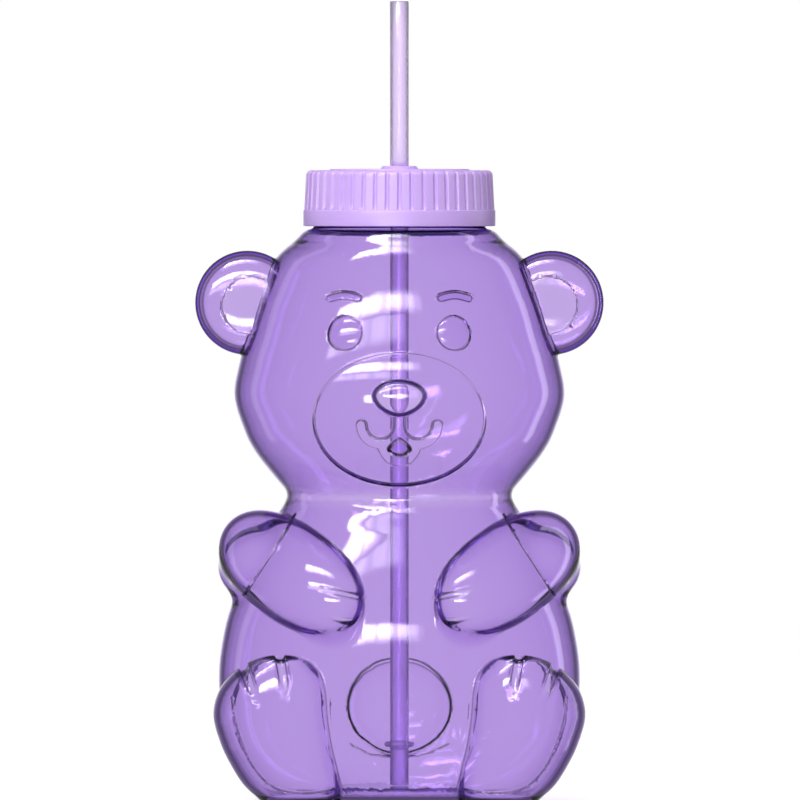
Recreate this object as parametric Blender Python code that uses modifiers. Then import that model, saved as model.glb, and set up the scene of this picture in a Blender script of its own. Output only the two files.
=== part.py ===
"""Bear-shaped drinking bottle: blow-moulded bear, ribbed screw lid, gasket and straw.

The bear sits facing -Y and stands on Z = 0, with its straw on the Z axis. The bear is one hollow
moulding: its outside forms are joined, and the same forms, drawn in by the wall, are joined and
cut out of it.
"""
import math

import bmesh
import bpy
from mathutils import Matrix, Vector

MM = 0.001

# Shared fits
WALL = 1.7 * MM
GAP = 0.3 * MM

# Neck and its opening
NECK_RADIUS = 28.6 * MM
NECK_WALL = 2.4 * MM
NECK_TOP = 204.6 * MM
NECK_ROOT = 184.0 * MM
SHOULDER_TOP = 190.4 * MM

# Head, as sections from the chin side up to the shoulder: height, half width, half depth
HEAD_SECTIONS = (
    (95.0 * MM, 24.0 * MM, 22.0 * MM),
    (98.5 * MM, 32.5 * MM, 29.5 * MM),
    (103.0 * MM, 37.4 * MM, 34.5 * MM),
    (109.7 * MM, 43.2 * MM, 39.2 * MM),
    (116.3 * MM, 48.2 * MM, 42.4 * MM),
    (123.0 * MM, 51.6 * MM, 44.2 * MM),
    (134.7 * MM, 55.0 * MM, 45.2 * MM),
    (146.3 * MM, 53.2 * MM, 44.6 * MM),
    (157.0 * MM, 50.2 * MM, 43.0 * MM),
    (168.0 * MM, 46.8 * MM, 40.6 * MM),
    (180.3 * MM, 41.3 * MM, 36.6 * MM),
    (186.3 * MM, 35.0 * MM, 33.4 * MM),
    (189.2 * MM, 32.2 * MM, 31.8 * MM),
)

# Torso, as sections from the base up into the head: height, half width, half depth
BASE_HALF_WIDTH = 43.0 * MM
BASE_HALF_DEPTH = 36.0 * MM
BASE_TAPER = 2.0 * MM
TORSO_SECTIONS = (
    (-1.5 * MM, BASE_HALF_WIDTH - BASE_TAPER, BASE_HALF_DEPTH - BASE_TAPER),
    (0.5 * MM, BASE_HALF_WIDTH, BASE_HALF_DEPTH),
    (5.0 * MM, 49.5 * MM, 40.2 * MM),
    (13.0 * MM, 55.4 * MM, 43.4 * MM),
    (24.0 * MM, 59.0 * MM, 45.0 * MM),
    (42.0 * MM, 60.2 * MM, 45.6 * MM),
    (56.3 * MM, 58.4 * MM, 44.8 * MM),
    (66.3 * MM, 55.4 * MM, 43.2 * MM),
    (78.0 * MM, 50.0 * MM, 40.6 * MM),
    (90.0 * MM, 43.6 * MM, 37.2 * MM),
    (99.7 * MM, 37.6 * MM, 34.2 * MM),
    (105.0 * MM, 31.0 * MM, 28.5 * MM),
)

# Base push-up, the dished panel that the straw stands over
PUSH_UP_HEIGHT = 2.9 * MM
PUSH_UP_FOOT_RADIUS = 24.0 * MM
PUSH_UP_TOP_RADIUS = 19.0 * MM

# Ears and the dish in their fronts
EAR_CENTRE = Vector((50.7 * MM, -1.0 * MM, 165.7 * MM))
EAR_RADIUS = 17.4 * MM
EAR_HALF_DEPTH = 8.6 * MM
DISH_CENTRE_X = 49.5 * MM
DISH_CENTRE_Z = 165.0 * MM
DISH_RADIUS = 11.2 * MM
DISH_DEPTH = 3.6 * MM

# Arms, oval about a line that runs in, forwards and down from the shoulder to the paw
ARM_CENTRE = Vector((35.9 * MM, -28.6 * MM, 75.0 * MM))
ARM_LINE = Vector((-0.66, -0.60, -0.45))
ARM_HALF_LENGTH = 32.1 * MM
ARM_HALF_HEIGHT = 16.4 * MM
ARM_HALF_THICKNESS = 13.4 * MM
ARM_BLUNTNESS = 2.5
SHOULDER_CENTRE = Vector((44.8 * MM, -2.0 * MM, 81.0 * MM))
SHOULDER_HALF_SIZE = Vector((15.6 * MM, 18.0 * MM, 14.2 * MM))

# Legs with upright soles, as sections: height, centre from the middle, half width, half depth
SOLE_FRONT = 52.0 * MM
SOLE_ROUNDING = 0.25
LEG_HALF_DEPTH = 22.0 * MM
LEG_SECTIONS = (
    (-1.0 * MM, 32.6 * MM, 12.6 * MM, 16.0 * MM),
    (2.0 * MM, 33.8 * MM, 14.6 * MM, 17.6 * MM),
    (6.3 * MM, 35.9 * MM, 16.9 * MM, 19.4 * MM),
    (13.0 * MM, 38.2 * MM, 18.7 * MM, 21.2 * MM),
    (20.0 * MM, 40.2 * MM, 19.6 * MM, LEG_HALF_DEPTH),
    (29.0 * MM, 41.8 * MM, 20.0 * MM, 21.8 * MM),
    (37.0 * MM, 41.4 * MM, 18.7 * MM, 19.8 * MM),
    (43.0 * MM, 40.4 * MM, 15.2 * MM, 16.6 * MM),
    (47.6 * MM, 39.6 * MM, 9.4 * MM, 11.4 * MM),
    (49.7 * MM, 39.2 * MM, 3.2 * MM, 5.0 * MM),
)
LEG_SQUARENESS = 2.5
LEG_TIP_HALF_WIDTH = 0.5 * MM

# Muzzle, a domed pad that leans with the face, and nose
MUZZLE_CENTRE = Vector((0.0, -40.5 * MM, 126.2 * MM))
MUZZLE_HALF_WIDTH = 29.0 * MM
MUZZLE_HALF_HEIGHT = 22.8 * MM
MUZZLE_RISE = 7.6 * MM
MUZZLE_SKIRT = 12.0 * MM
MUZZLE_LEAN = 11.0
NOSE_HALF_WIDTH = 9.0 * MM
NOSE_TOP = 139.8 * MM
NOSE_TIP = 127.7 * MM
NOSE_WIDEST = 134.6 * MM
NOSE_FRONT = 52.0 * MM
NOSE_HALF_DEPTH = 4.0 * MM

# Eyes, each a low dome on the face
EYE_X = 17.9 * MM
EYE_Z = 155.3 * MM
EYE_RADIUS = 5.8 * MM
EYE_RISE = 2.6 * MM

# Brows, each a raised bar with a slight arch
BROW_INNER_X = 13.4 * MM
BROW_OUTER_X = 23.6 * MM
BROW_INNER_Z = 167.4 * MM
BROW_OUTER_Z = 166.8 * MM
BROW_ARCH = 1.6 * MM
BROW_RADIUS = 1.25 * MM
BROW_STEPS = 5

# Round tail at the back
TAIL_CENTRE_Z = 29.8 * MM
TAIL_HALF_WIDTH = 18.0 * MM
TAIL_HALF_DEPTH = 9.0 * MM
TAIL_HALF_HEIGHT = 16.6 * MM
TAIL_BACK = 52.0 * MM

# Screw lid
LID_BOTTOM = 191.3 * MM
LID_BAND_TOP = 196.7 * MM
LID_TOP = 209.9 * MM
LID_BAND_RADIUS = 32.0 * MM
LID_GRIP_RADIUS = 31.7 * MM
LID_TOP_RADIUS = 31.1 * MM
LID_CORNER = 1.8 * MM
LID_BORE_RADIUS = 30.0 * MM
LID_PLATE = 2.2 * MM
LID_PANEL_RADIUS = 23.2 * MM
LID_PANEL_RISE = 0.4 * MM
BOSS_RADIUS = 5.8 * MM
BOSS_FOOT_RADIUS = 6.3 * MM
BOSS_RISE = 1.4 * MM
GROOVE_COUNT = 48
GROOVE_WIDTH = 1.1 * MM
GROOVE_DEPTH = 0.7 * MM
GROOVE_FOOT = 0.3 * MM
GROOVE_RUN_OUT = 0.6 * MM
GROOVE_REACH = 4.0 * MM

# Gasket ring between the neck's rim and the lid's plate
GASKET_WIDTH = 3.6 * MM

# Straw and its stop ring
STRAW_RADIUS = 3.1 * MM
STRAW_BORE_RADIUS = 2.5 * MM
STRAW_TOP = 266.2 * MM
STOP_RADIUS = 5.0 * MM
STOP_THICKNESS = 1.8 * MM
STOP_CENTRE_Z = 18.6 * MM

# How finely the round forms are cut
BODY_SEGMENTS = 36
FORM_SEGMENTS = 20
INNER_FORM_SEGMENTS = 16
SMALL_SEGMENTS = 14
SKIN_RINGS = 2
CAVITY_RINGS = 1
DOME_STEPS = 6
DOME_END = 86.0
CORNER_STEPS = 3
SMOOTH_ANGLE = 35.0
MERGE_DISTANCE = 0.01 * MM
CUT_OVERLAP = 1.0 * MM
SIDES = (-1, 1)


def clear_scene():
    for old in list(bpy.data.objects):
        bpy.data.objects.remove(old, do_unlink=True)


def new_collection(name):
    collection = bpy.data.collections.new(name)
    bpy.context.scene.collection.children.link(collection)
    return collection


def make_material(name, colour, roughness, alpha=1.0):
    material = bpy.data.materials.new(name)
    material.use_nodes = True
    shader = material.node_tree.nodes["Principled BSDF"]
    shader.inputs["Base Color"].default_value = (*colour, 1.0)
    shader.inputs["Roughness"].default_value = roughness
    shader.inputs["Metallic"].default_value = 0.0
    shader.inputs["Alpha"].default_value = alpha
    return material


def add_object(name, mesh, collection):
    made = bpy.data.objects.new(name, mesh)
    collection.objects.link(made)
    return made


def mesh_from(bm, name):
    mesh = bpy.data.meshes.new(name)
    bm.to_mesh(mesh)
    bm.free()
    return mesh


def hide_cutter(cutter):
    cutter.hide_render = True
    cutter.display_type = "WIRE"


def smooth(made):
    mesh = made.data
    mesh.shade_smooth()
    mesh.set_sharp_from_angle(angle=math.radians(SMOOTH_ANGLE))


def combine(target, other, operation):
    modifier = target.modifiers.new(f"{operation.lower()}_{other.name}"[:60], "BOOLEAN")
    modifier.operation = operation
    modifier.solver = "EXACT"
    modifier.object = other
    hide_cutter(other)


# Interpolation along sections
def curve_between(before, start, end, after, t):
    """A Catmull-Rom point between start and end."""
    return 0.5 * (
        2.0 * start
        + (end - before) * t
        + (2.0 * before - 5.0 * start + 4.0 * end - after) * t * t
        + (3.0 * start - before - 3.0 * end + after) * t * t * t
    )


def resample(sections, steps):
    """Rows of a smooth curve through the sections, with steps rows for each stretch."""
    last = len(sections) - 1
    rows = []
    for index in range(last):
        before = sections[max(index - 1, 0)]
        after = sections[min(index + 2, last)]
        pair = (sections[index], sections[index + 1])
        for step in range(steps):
            t = step / steps
            rows.append([curve_between(a, b, c, d, t) for a, b, c, d in zip(before, *pair, after)])
    rows.append(list(sections[last]))
    return rows


def section_at(sections, height):
    """Half width and half depth of stacked sections at one height."""
    rows = resample(sections, 6)
    for low, high in zip(rows, rows[1:]):
        if low[0] <= height <= high[0]:
            t = (height - low[0]) / (high[0] - low[0])
            return [a + (b - a) * t for a, b in zip(low, high)]
    raise ValueError("height lies outside the sections")


def face_depth(x, z):
    """How far forward the plain face lies at a point seen from the front."""
    _, half_width, half_depth = section_at(HEAD_SECTIONS, z)
    return half_depth * math.sqrt(1.0 - (x / half_width) ** 2)


def segments_for(inset):
    return INNER_FORM_SEGMENTS if inset else FORM_SEGMENTS


def rings_for(inset):
    return CAVITY_RINGS if inset else SKIN_RINGS


def dome_rows(rise, bluntness):
    """Heights and shares of the full width up a dome, from its foot to near its crown."""
    rows = []
    for step in range(DOME_STEPS + 1):
        turn = math.radians(DOME_END) * step / DOME_STEPS
        height = math.sin(turn)
        rows.append((rise * height, (1.0 - height**bluntness) ** (1.0 / bluntness)))
    return rows


# Solid forms
def loft(name, rows, segments, collection, squareness=2.0, place=Matrix()):
    """Closed solid through rows of height, centre x, centre y, half width and half depth."""
    bm = bmesh.new()
    rings = []
    for height, centre_x, centre_y, half_width, half_depth in rows:
        ring = []
        for index in range(segments):
            angle = 2.0 * math.pi * index / segments
            across, along = math.cos(angle), math.sin(angle)
            reach = (abs(across) ** squareness + abs(along) ** squareness) ** (-1.0 / squareness)
            x = centre_x + half_width * reach * across
            y = centre_y + half_depth * reach * along
            ring.append(bm.verts.new((x, y, height)))
        rings.append(ring)
    for lower, upper in zip(rings, rings[1:]):
        for index in range(segments):
            following = (index + 1) % segments
            bm.faces.new((lower[index], lower[following], upper[following], upper[index]))
    bm.faces.new(list(reversed(rings[0])))
    bm.faces.new(rings[-1])
    bm.transform(place)
    return add_object(name, mesh_from(bm, name), collection)


def ellipsoid(name, centre, half_size, segments, collection, turn=Matrix()):
    bm = bmesh.new()
    bmesh.ops.create_uvsphere(bm, u_segments=segments, v_segments=segments // 2, radius=1.0)
    bm.transform(Matrix.Translation(centre) @ turn @ Matrix.Diagonal((*half_size, 1.0)))
    return add_object(name, mesh_from(bm, name), collection)


def block(name, low, high, collection):
    bm = bmesh.new()
    bmesh.ops.create_cube(bm, size=1.0)
    size = Vector(high) - Vector(low)
    centre = (Vector(high) + Vector(low)) / 2.0
    bm.transform(Matrix.Translation(centre) @ Matrix.Diagonal((*size, 1.0)))
    return add_object(name, mesh_from(bm, name), collection)


def cone(name, low_radius, high_radius, bottom, top, segments, collection):
    bm = bmesh.new()
    bmesh.ops.create_cone(
        bm,
        cap_ends=True,
        segments=segments,
        radius1=low_radius,
        radius2=high_radius,
        depth=top - bottom,
    )
    bm.transform(Matrix.Translation((0.0, 0.0, (top + bottom) / 2.0)))
    return add_object(name, mesh_from(bm, name), collection)


def turned(name, profile, steps, collection):
    """Solid of revolution about Z from a closed profile of radius and height points."""
    mesh = bpy.data.meshes.new(name)
    points = [(radius, 0.0, height) for radius, height in profile]
    count = len(points)
    mesh.from_pydata(points, [(index, (index + 1) % count) for index in range(count)], [])
    made = add_object(name, mesh, collection)
    screw = made.modifiers.new("turn", "SCREW")
    screw.axis = "Z"
    screw.steps = steps
    screw.render_steps = steps
    screw.use_merge_vertices = True
    screw.merge_threshold = MERGE_DISTANCE
    screw.use_smooth_shade = True
    return made


# Forms of the bear, each drawn in by inset: 0 for the outside, the wall for the inside
def head_form(inset, collection):
    rows = [
        (z, 0.0, 0.0, half_width - inset, half_depth - inset)
        for z, half_width, half_depth in resample(HEAD_SECTIONS, rings_for(inset))
    ]
    crown = SHOULDER_TOP - inset
    rows.append((crown, 0.0, 0.0, NECK_RADIUS + WALL - inset, NECK_RADIUS + WALL - inset))
    rows = [row for row in rows if row[0] <= crown]
    return loft(f"head_{inset > 0}", rows, BODY_SEGMENTS, collection)


def torso_form(inset, collection):
    rows = [
        (z, 0.0, 0.0, half_width - inset, half_depth - inset)
        for z, half_width, half_depth in resample(TORSO_SECTIONS, rings_for(inset))
    ]
    return loft(f"torso_{inset > 0}", rows, BODY_SEGMENTS, collection)


def leg_form(side, inset, collection):
    rows = []
    for z, centre, half_width, half_depth in resample(LEG_SECTIONS, CAVITY_RINGS):
        if half_width > inset + LEG_TIP_HALF_WIDTH:
            centre_y = half_depth - SOLE_FRONT + SOLE_ROUNDING * (LEG_HALF_DEPTH - half_depth)
            rows.append((z, side * centre, centre_y, half_width - inset, half_depth - inset))
    if inset:
        rows = [row for row in rows if row[0] < LEG_SECTIONS[-1][0] - inset]
    name = f"leg_{side}_{inset > 0}"
    return loft(name, rows, segments_for(inset), collection, LEG_SQUARENESS)


def arm_form(side, inset, collection):
    centre = Vector((side * ARM_CENTRE.x, ARM_CENTRE.y, ARM_CENTRE.z))
    line = Vector((side * ARM_LINE.x, ARM_LINE.y, ARM_LINE.z)).normalized()
    up = Vector((0.0, 1.0, 0.0)).cross(line).normalized()
    turn = Matrix((up, line.cross(up), line)).transposed().to_4x4()
    half_height = ARM_HALF_HEIGHT - inset
    thickness = ARM_HALF_THICKNESS - inset
    rows = dome_rows(ARM_HALF_LENGTH - inset, ARM_BLUNTNESS)
    rows = [(-z, share) for z, share in reversed(rows)][:-1] + rows
    rows = [(z, 0.0, 0.0, half_height * share, thickness * share) for z, share in rows]
    place = Matrix.Translation(centre) @ turn
    name = f"arm_{side}_{inset > 0}"
    return loft(name, rows, segments_for(inset), collection, place=place)


def shoulder_form(side, inset, collection):
    """The arm's root, whose widest line lies where the mould's halves meet."""
    centre = Vector((side * SHOULDER_CENTRE.x, SHOULDER_CENTRE.y, SHOULDER_CENTRE.z))
    half_size = SHOULDER_HALF_SIZE - Vector((inset, inset, inset))
    name = f"shoulder_{side}_{inset > 0}"
    return ellipsoid(name, centre, half_size, segments_for(inset), collection)


def ear_form(side, inset, collection):
    centre = Vector((side * EAR_CENTRE.x, EAR_CENTRE.y, EAR_CENTRE.z))
    half_size = (EAR_RADIUS - inset, EAR_HALF_DEPTH - inset, EAR_RADIUS - inset)
    return ellipsoid(f"ear_{side}_{inset > 0}", centre, half_size, segments_for(inset), collection)


def ear_dish(side, inset, collection):
    front = EAR_CENTRE.y - EAR_HALF_DEPTH
    centre = Vector((side * DISH_CENTRE_X, front, DISH_CENTRE_Z))
    half_size = (DISH_RADIUS + inset, DISH_DEPTH + inset, DISH_RADIUS + inset)
    return ellipsoid(f"dish_{side}_{inset > 0}", centre, half_size, segments_for(inset), collection)


def muzzle_form(inset, collection):
    """Upright oval pad with a domed front and straight sides that run back into the face."""
    half_width = MUZZLE_HALF_WIDTH - inset
    half_height = MUZZLE_HALF_HEIGHT - inset
    rows = [(-MUZZLE_SKIRT, 1.0)] + dome_rows(MUZZLE_RISE - inset, 2.0)
    rows = [(z, 0.0, 0.0, half_width * share, half_height * share) for z, share in rows]
    lean = Matrix.Rotation(math.radians(90.0 + MUZZLE_LEAN), 4, "X")
    place = Matrix.Translation(MUZZLE_CENTRE) @ lean
    return loft(f"muzzle_{inset > 0}", rows, BODY_SEGMENTS, collection, place=place)


def tail_form(inset, collection):
    centre = Vector((0.0, TAIL_BACK - TAIL_HALF_DEPTH, TAIL_CENTRE_Z))
    half_size = (TAIL_HALF_WIDTH - inset, TAIL_HALF_DEPTH - inset, TAIL_HALF_HEIGHT - inset)
    return ellipsoid(f"tail_{inset > 0}", centre, half_size, segments_for(inset), collection)


def nose_form(collection):
    """A domed almond: a broad arc above, drawn to a point below."""
    bm = bmesh.new()
    bmesh.ops.create_uvsphere(
        bm, u_segments=SMALL_SEGMENTS, v_segments=SMALL_SEGMENTS // 2, radius=1.0
    )
    for vert in bm.verts:
        x, y, z = vert.co
        height = (NOSE_TOP - NOSE_WIDEST) if z > 0.0 else (NOSE_WIDEST - NOSE_TIP)
        pinch = 1.0 if z > 0.0 else 1.0 - 0.35 * abs(z)
        across = NOSE_HALF_WIDTH * x * pinch
        vert.co = (across, NOSE_HALF_DEPTH * y, NOSE_WIDEST + height * z)
    bm.transform(Matrix.Translation((0.0, NOSE_HALF_DEPTH - NOSE_FRONT, 0.0)))
    return add_object("nose", mesh_from(bm, "nose"), collection)


def eye_form(side, collection):
    """Dome that stands square to the face."""
    centre = Vector((side * EYE_X, -face_depth(EYE_X, EYE_Z), EYE_Z))
    near, far = face_depth(EYE_X - EYE_RADIUS, EYE_Z), face_depth(EYE_X + EYE_RADIUS, EYE_Z)
    low, high = face_depth(EYE_X, EYE_Z - EYE_RADIUS), face_depth(EYE_X, EYE_Z + EYE_RADIUS)
    out = Vector((side * (near - far), -2.0 * EYE_RADIUS, low - high))
    turn = out.to_track_quat("Y", "Z").to_matrix().to_4x4()
    half_size = (EYE_RADIUS, EYE_RISE, EYE_RADIUS)
    return ellipsoid(f"eye_{side}", centre, half_size, SMALL_SEGMENTS, collection, turn)


def brow_form(side, collection):
    """Arched bar along the face, with round ends."""
    curve = bpy.data.curves.new(f"brow_{side}", "CURVE")
    curve.dimensions = "3D"
    curve.bevel_depth = BROW_RADIUS
    curve.bevel_resolution = 1
    curve.use_fill_caps = True
    spline = curve.splines.new("POLY")
    spline.points.add(BROW_STEPS)
    for step, point in enumerate(spline.points):
        t = step / BROW_STEPS
        x = BROW_INNER_X + (BROW_OUTER_X - BROW_INNER_X) * t
        z = BROW_INNER_Z + (BROW_OUTER_Z - BROW_INNER_Z) * t + BROW_ARCH * math.sin(math.pi * t)
        point.co = (side * x, -face_depth(x, z), z, 1.0)
    bar = bpy.data.objects.new(f"brow_curve_{side}", curve)
    collection.objects.link(bar)
    graph = bpy.context.evaluated_depsgraph_get()
    mesh = bpy.data.meshes.new_from_object(bar.evaluated_get(graph))
    bpy.data.objects.remove(bar, do_unlink=True)
    bm = bmesh.new()
    bm.from_mesh(mesh)
    bmesh.ops.remove_doubles(bm, verts=bm.verts, dist=MERGE_DISTANCE)
    bmesh.ops.recalc_face_normals(bm, faces=bm.faces)
    return add_object(f"brow_{side}", mesh_from(bm, f"brow_{side}"), collection)


def floor_cut(inset, collection):
    reach = 2.0 * BASE_HALF_WIDTH
    low = (-reach, -reach, -reach)
    return block(f"floor_{inset > 0}", low, (reach, reach, inset), collection)


def push_up(inset, collection):
    """Dish under the base, and the hump that it makes in the floor."""
    low = -CUT_OVERLAP
    slope = (PUSH_UP_FOOT_RADIUS - PUSH_UP_TOP_RADIUS) / PUSH_UP_HEIGHT
    top = PUSH_UP_HEIGHT + inset
    foot = PUSH_UP_FOOT_RADIUS + inset - slope * low
    return cone(
        f"push_up_{inset > 0}", foot, foot - slope * (top - low), low, top, BODY_SEGMENTS, collection
    )


def join_forms(inset, collection):
    """One solid of every hollow form, drawn in by inset."""
    whole = head_form(inset, collection)
    others = [torso_form(inset, collection), muzzle_form(inset, collection)]
    others.append(tail_form(inset, collection))
    for side in SIDES:
        others.append(leg_form(side, inset, collection))
        others.append(arm_form(side, inset, collection))
        others.append(shoulder_form(side, inset, collection))
    for other in others:
        combine(whole, other, "UNION")
    for side in SIDES:
        ear = ear_form(side, inset, collection)
        combine(ear, ear_dish(side, inset, collection), "DIFFERENCE")
        combine(whole, ear, "UNION")
    combine(whole, floor_cut(inset, collection), "DIFFERENCE")
    combine(whole, push_up(inset, collection), "DIFFERENCE")
    return whole


def build_bear(parts, cutters, material):
    cavity = join_forms(WALL, cutters)
    bore = cone(
        "neck_bore",
        NECK_RADIUS - NECK_WALL,
        NECK_RADIUS - NECK_WALL,
        NECK_ROOT,
        NECK_TOP + CUT_OVERLAP,
        BODY_SEGMENTS,
        cutters,
    )
    combine(cavity, bore, "UNION")
    bear = join_forms(0.0, cutters)
    neck = cone("neck", NECK_RADIUS, NECK_RADIUS, NECK_ROOT, NECK_TOP, BODY_SEGMENTS, cutters)
    combine(bear, neck, "UNION")
    combine(bear, nose_form(cutters), "UNION")
    for side in SIDES:
        combine(bear, eye_form(side, cutters), "UNION")
        combine(bear, brow_form(side, cutters), "UNION")
    combine(bear, cavity, "DIFFERENCE")
    bear.name = "bear_body"
    cutters.objects.unlink(bear)
    parts.objects.link(bear)
    bear.data.materials.append(material)
    smooth(bear)
    return bear


# Lid
def lid_profile():
    """Closed outline of the lid, from its bore's foot out, up and over to the straw hole."""
    hole = STRAW_RADIUS + GAP
    under = LID_TOP - LID_PLATE
    outline = [
        (LID_BORE_RADIUS, LID_BOTTOM),
        (LID_BORE_RADIUS, under),
        (hole, under),
        (hole, LID_TOP + BOSS_RISE),
        (BOSS_RADIUS, LID_TOP + BOSS_RISE),
        (BOSS_FOOT_RADIUS, LID_TOP + LID_PANEL_RISE),
        (LID_PANEL_RADIUS, LID_TOP + LID_PANEL_RISE),
        (LID_PANEL_RADIUS + LID_PANEL_RISE, LID_TOP),
    ]
    for step in range(CORNER_STEPS + 1):
        angle = math.radians(90.0 * (1.0 - step / CORNER_STEPS))
        radius = LID_TOP_RADIUS - LID_CORNER + LID_CORNER * math.cos(angle)
        outline.append((radius, LID_TOP - LID_CORNER + LID_CORNER * math.sin(angle)))
    outline.append((LID_GRIP_RADIUS, LID_BAND_TOP))
    outline.append((LID_BAND_RADIUS, LID_BAND_TOP))
    outline.append((LID_BAND_RADIUS, LID_BOTTOM))
    return outline


def grip_grooves(collection):
    """Narrow upright cutters, evenly spaced, leaning with the grip's draft."""
    bm = bmesh.new()
    bottom = LID_BAND_TOP + GROOVE_FOOT
    top = LID_TOP - GROOVE_RUN_OUT
    lean = math.atan2(LID_GRIP_RADIUS - LID_TOP_RADIUS, LID_TOP - LID_CORNER - LID_BAND_TOP)
    for index in range(GROOVE_COUNT):
        made = bmesh.ops.create_cube(bm, size=1.0)["verts"]
        scale = Matrix.Diagonal((GROOVE_REACH, GROOVE_WIDTH, top - bottom, 1.0))
        lift = Matrix.Translation((GROOVE_REACH / 2.0, 0.0, (top - bottom) / 2.0))
        root = Matrix.Translation((LID_GRIP_RADIUS - GROOVE_DEPTH, 0.0, bottom))
        tilt = Matrix.Rotation(-lean, 4, "Y")
        turn = Matrix.Rotation(2.0 * math.pi * (index + 0.5) / GROOVE_COUNT, 4, "Z")
        bmesh.ops.transform(bm, matrix=turn @ root @ tilt @ lift @ scale, verts=made)
    return add_object("grip_grooves", mesh_from(bm, "grip_grooves"), collection)


def build_lid(parts, cutters, material):
    lid = turned("screw_lid", lid_profile(), 2 * GROOVE_COUNT, parts)
    combine(lid, grip_grooves(cutters), "DIFFERENCE")
    lid.data.materials.append(material)
    return lid


# Gasket
def build_gasket(parts, material):
    bottom = NECK_TOP + GAP
    top = LID_TOP - LID_PLATE - GAP
    outer = LID_BORE_RADIUS - GAP
    inner = outer - GASKET_WIDTH
    profile = [(inner, bottom), (inner, top), (outer, top), (outer, bottom)]
    gasket = turned("lid_seal", profile, BODY_SEGMENTS, parts)
    gasket.data.materials.append(material)
    return gasket


# Straw
def straw_profile():
    bottom = PUSH_UP_HEIGHT + WALL + GAP
    half = STOP_THICKNESS / 2.0
    round_off = STOP_THICKNESS / 3.0
    return [
        (STRAW_BORE_RADIUS, bottom),
        (STRAW_BORE_RADIUS, STRAW_TOP),
        (STRAW_RADIUS, STRAW_TOP),
        (STRAW_RADIUS, STOP_CENTRE_Z + half),
        (STOP_RADIUS - round_off, STOP_CENTRE_Z + half),
        (STOP_RADIUS, STOP_CENTRE_Z + half - round_off),
        (STOP_RADIUS, STOP_CENTRE_Z - half + round_off),
        (STOP_RADIUS - round_off, STOP_CENTRE_Z - half),
        (STRAW_RADIUS, STOP_CENTRE_Z - half),
        (STRAW_RADIUS, bottom),
    ]


def build_straw(parts, material):
    straw = turned("straw", straw_profile(), FORM_SEGMENTS, parts)
    straw.data.materials.append(material)
    return straw


def main():
    clear_scene()
    parts = new_collection("bear_bottle")
    cutters = new_collection("cutters")
    tinted = make_material("tinted_plastic", (0.43, 0.28, 0.69), 0.06, 0.35)
    lilac = make_material("lilac_plastic", (0.60, 0.42, 0.86), 0.32)
    rubber = make_material("white_rubber", (0.72, 0.68, 0.76), 0.6)
    pale = make_material("pale_plastic", (0.68, 0.52, 0.92), 0.18, 0.8)
    build_bear(parts, cutters, tinted)
    build_lid(parts, cutters, lilac)
    build_gasket(parts, rubber)
    build_straw(parts, pale)


main()
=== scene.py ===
"""Looks of the bear-shaped bottle: clear tinted bear, ribbed lid, gasket and straw."""
import math

import bmesh
import bpy
import numpy as np
import openvdb
from mathutils import Matrix, Vector


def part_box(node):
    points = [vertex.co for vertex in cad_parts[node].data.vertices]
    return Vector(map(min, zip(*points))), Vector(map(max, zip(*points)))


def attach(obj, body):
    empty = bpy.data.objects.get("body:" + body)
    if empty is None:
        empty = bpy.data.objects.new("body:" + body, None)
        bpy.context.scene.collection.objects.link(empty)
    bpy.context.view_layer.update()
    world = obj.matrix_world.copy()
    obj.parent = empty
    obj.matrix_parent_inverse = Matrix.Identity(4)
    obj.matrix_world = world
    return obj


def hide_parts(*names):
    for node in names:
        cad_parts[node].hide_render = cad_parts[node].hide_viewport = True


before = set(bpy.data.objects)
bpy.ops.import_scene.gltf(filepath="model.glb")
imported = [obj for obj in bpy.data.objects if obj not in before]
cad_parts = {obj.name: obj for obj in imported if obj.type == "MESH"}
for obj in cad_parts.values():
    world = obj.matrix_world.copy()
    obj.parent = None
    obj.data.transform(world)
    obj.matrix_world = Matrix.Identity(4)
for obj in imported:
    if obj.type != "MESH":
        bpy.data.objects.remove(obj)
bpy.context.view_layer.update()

MM = 0.001

# Places read from the frame, in millimetres
LID_LOW, LID_HIGH = [np.array(corner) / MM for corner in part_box("screw_lid")]
SEAL_LOW, SEAL_HIGH = [np.array(corner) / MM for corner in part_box("lid_seal")]
STRAW_LOW, STRAW_HIGH = [np.array(corner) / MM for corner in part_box("straw")]
BODY_LOW, BODY_HIGH = [np.array(corner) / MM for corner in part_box("bear_body")]

# Sizes of the bear, in millimetres
WALL = 1.7
NECK_RADIUS = 28.6
NECK_WALL = 2.4
NECK_ROOT = 184.0
NECK_LIP = 0.8
NECK_SPARE = 3.0
SHOULDER_TOP = 190.4
HEAD_SECTIONS = (
    (95.0, 24.0, 22.0),
    (98.5, 32.5, 29.5),
    (103.0, 37.4, 34.5),
    (109.7, 43.2, 39.2),
    (116.3, 48.2, 42.4),
    (123.0, 51.6, 44.2),
    (134.7, 55.0, 45.2),
    (146.3, 53.2, 44.6),
    (157.0, 50.2, 43.0),
    (168.0, 46.8, 40.6),
    (180.3, 41.3, 36.6),
    (186.3, 35.0, 33.4),
    (189.2, 32.2, 31.8),
    (190.4, 30.3, 30.3),
)
TORSO_SECTIONS = (
    (-1.5, 41.0, 34.0),
    (0.5, 43.0, 36.0),
    (5.0, 49.5, 40.2),
    (13.0, 55.4, 43.4),
    (24.0, 59.0, 45.0),
    (42.0, 60.2, 45.6),
    (56.3, 58.4, 44.8),
    (66.3, 55.4, 43.2),
    (78.0, 50.0, 40.6),
    (90.0, 43.6, 37.2),
    (99.7, 37.6, 34.2),
    (105.0, 31.0, 28.5),
)
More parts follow.
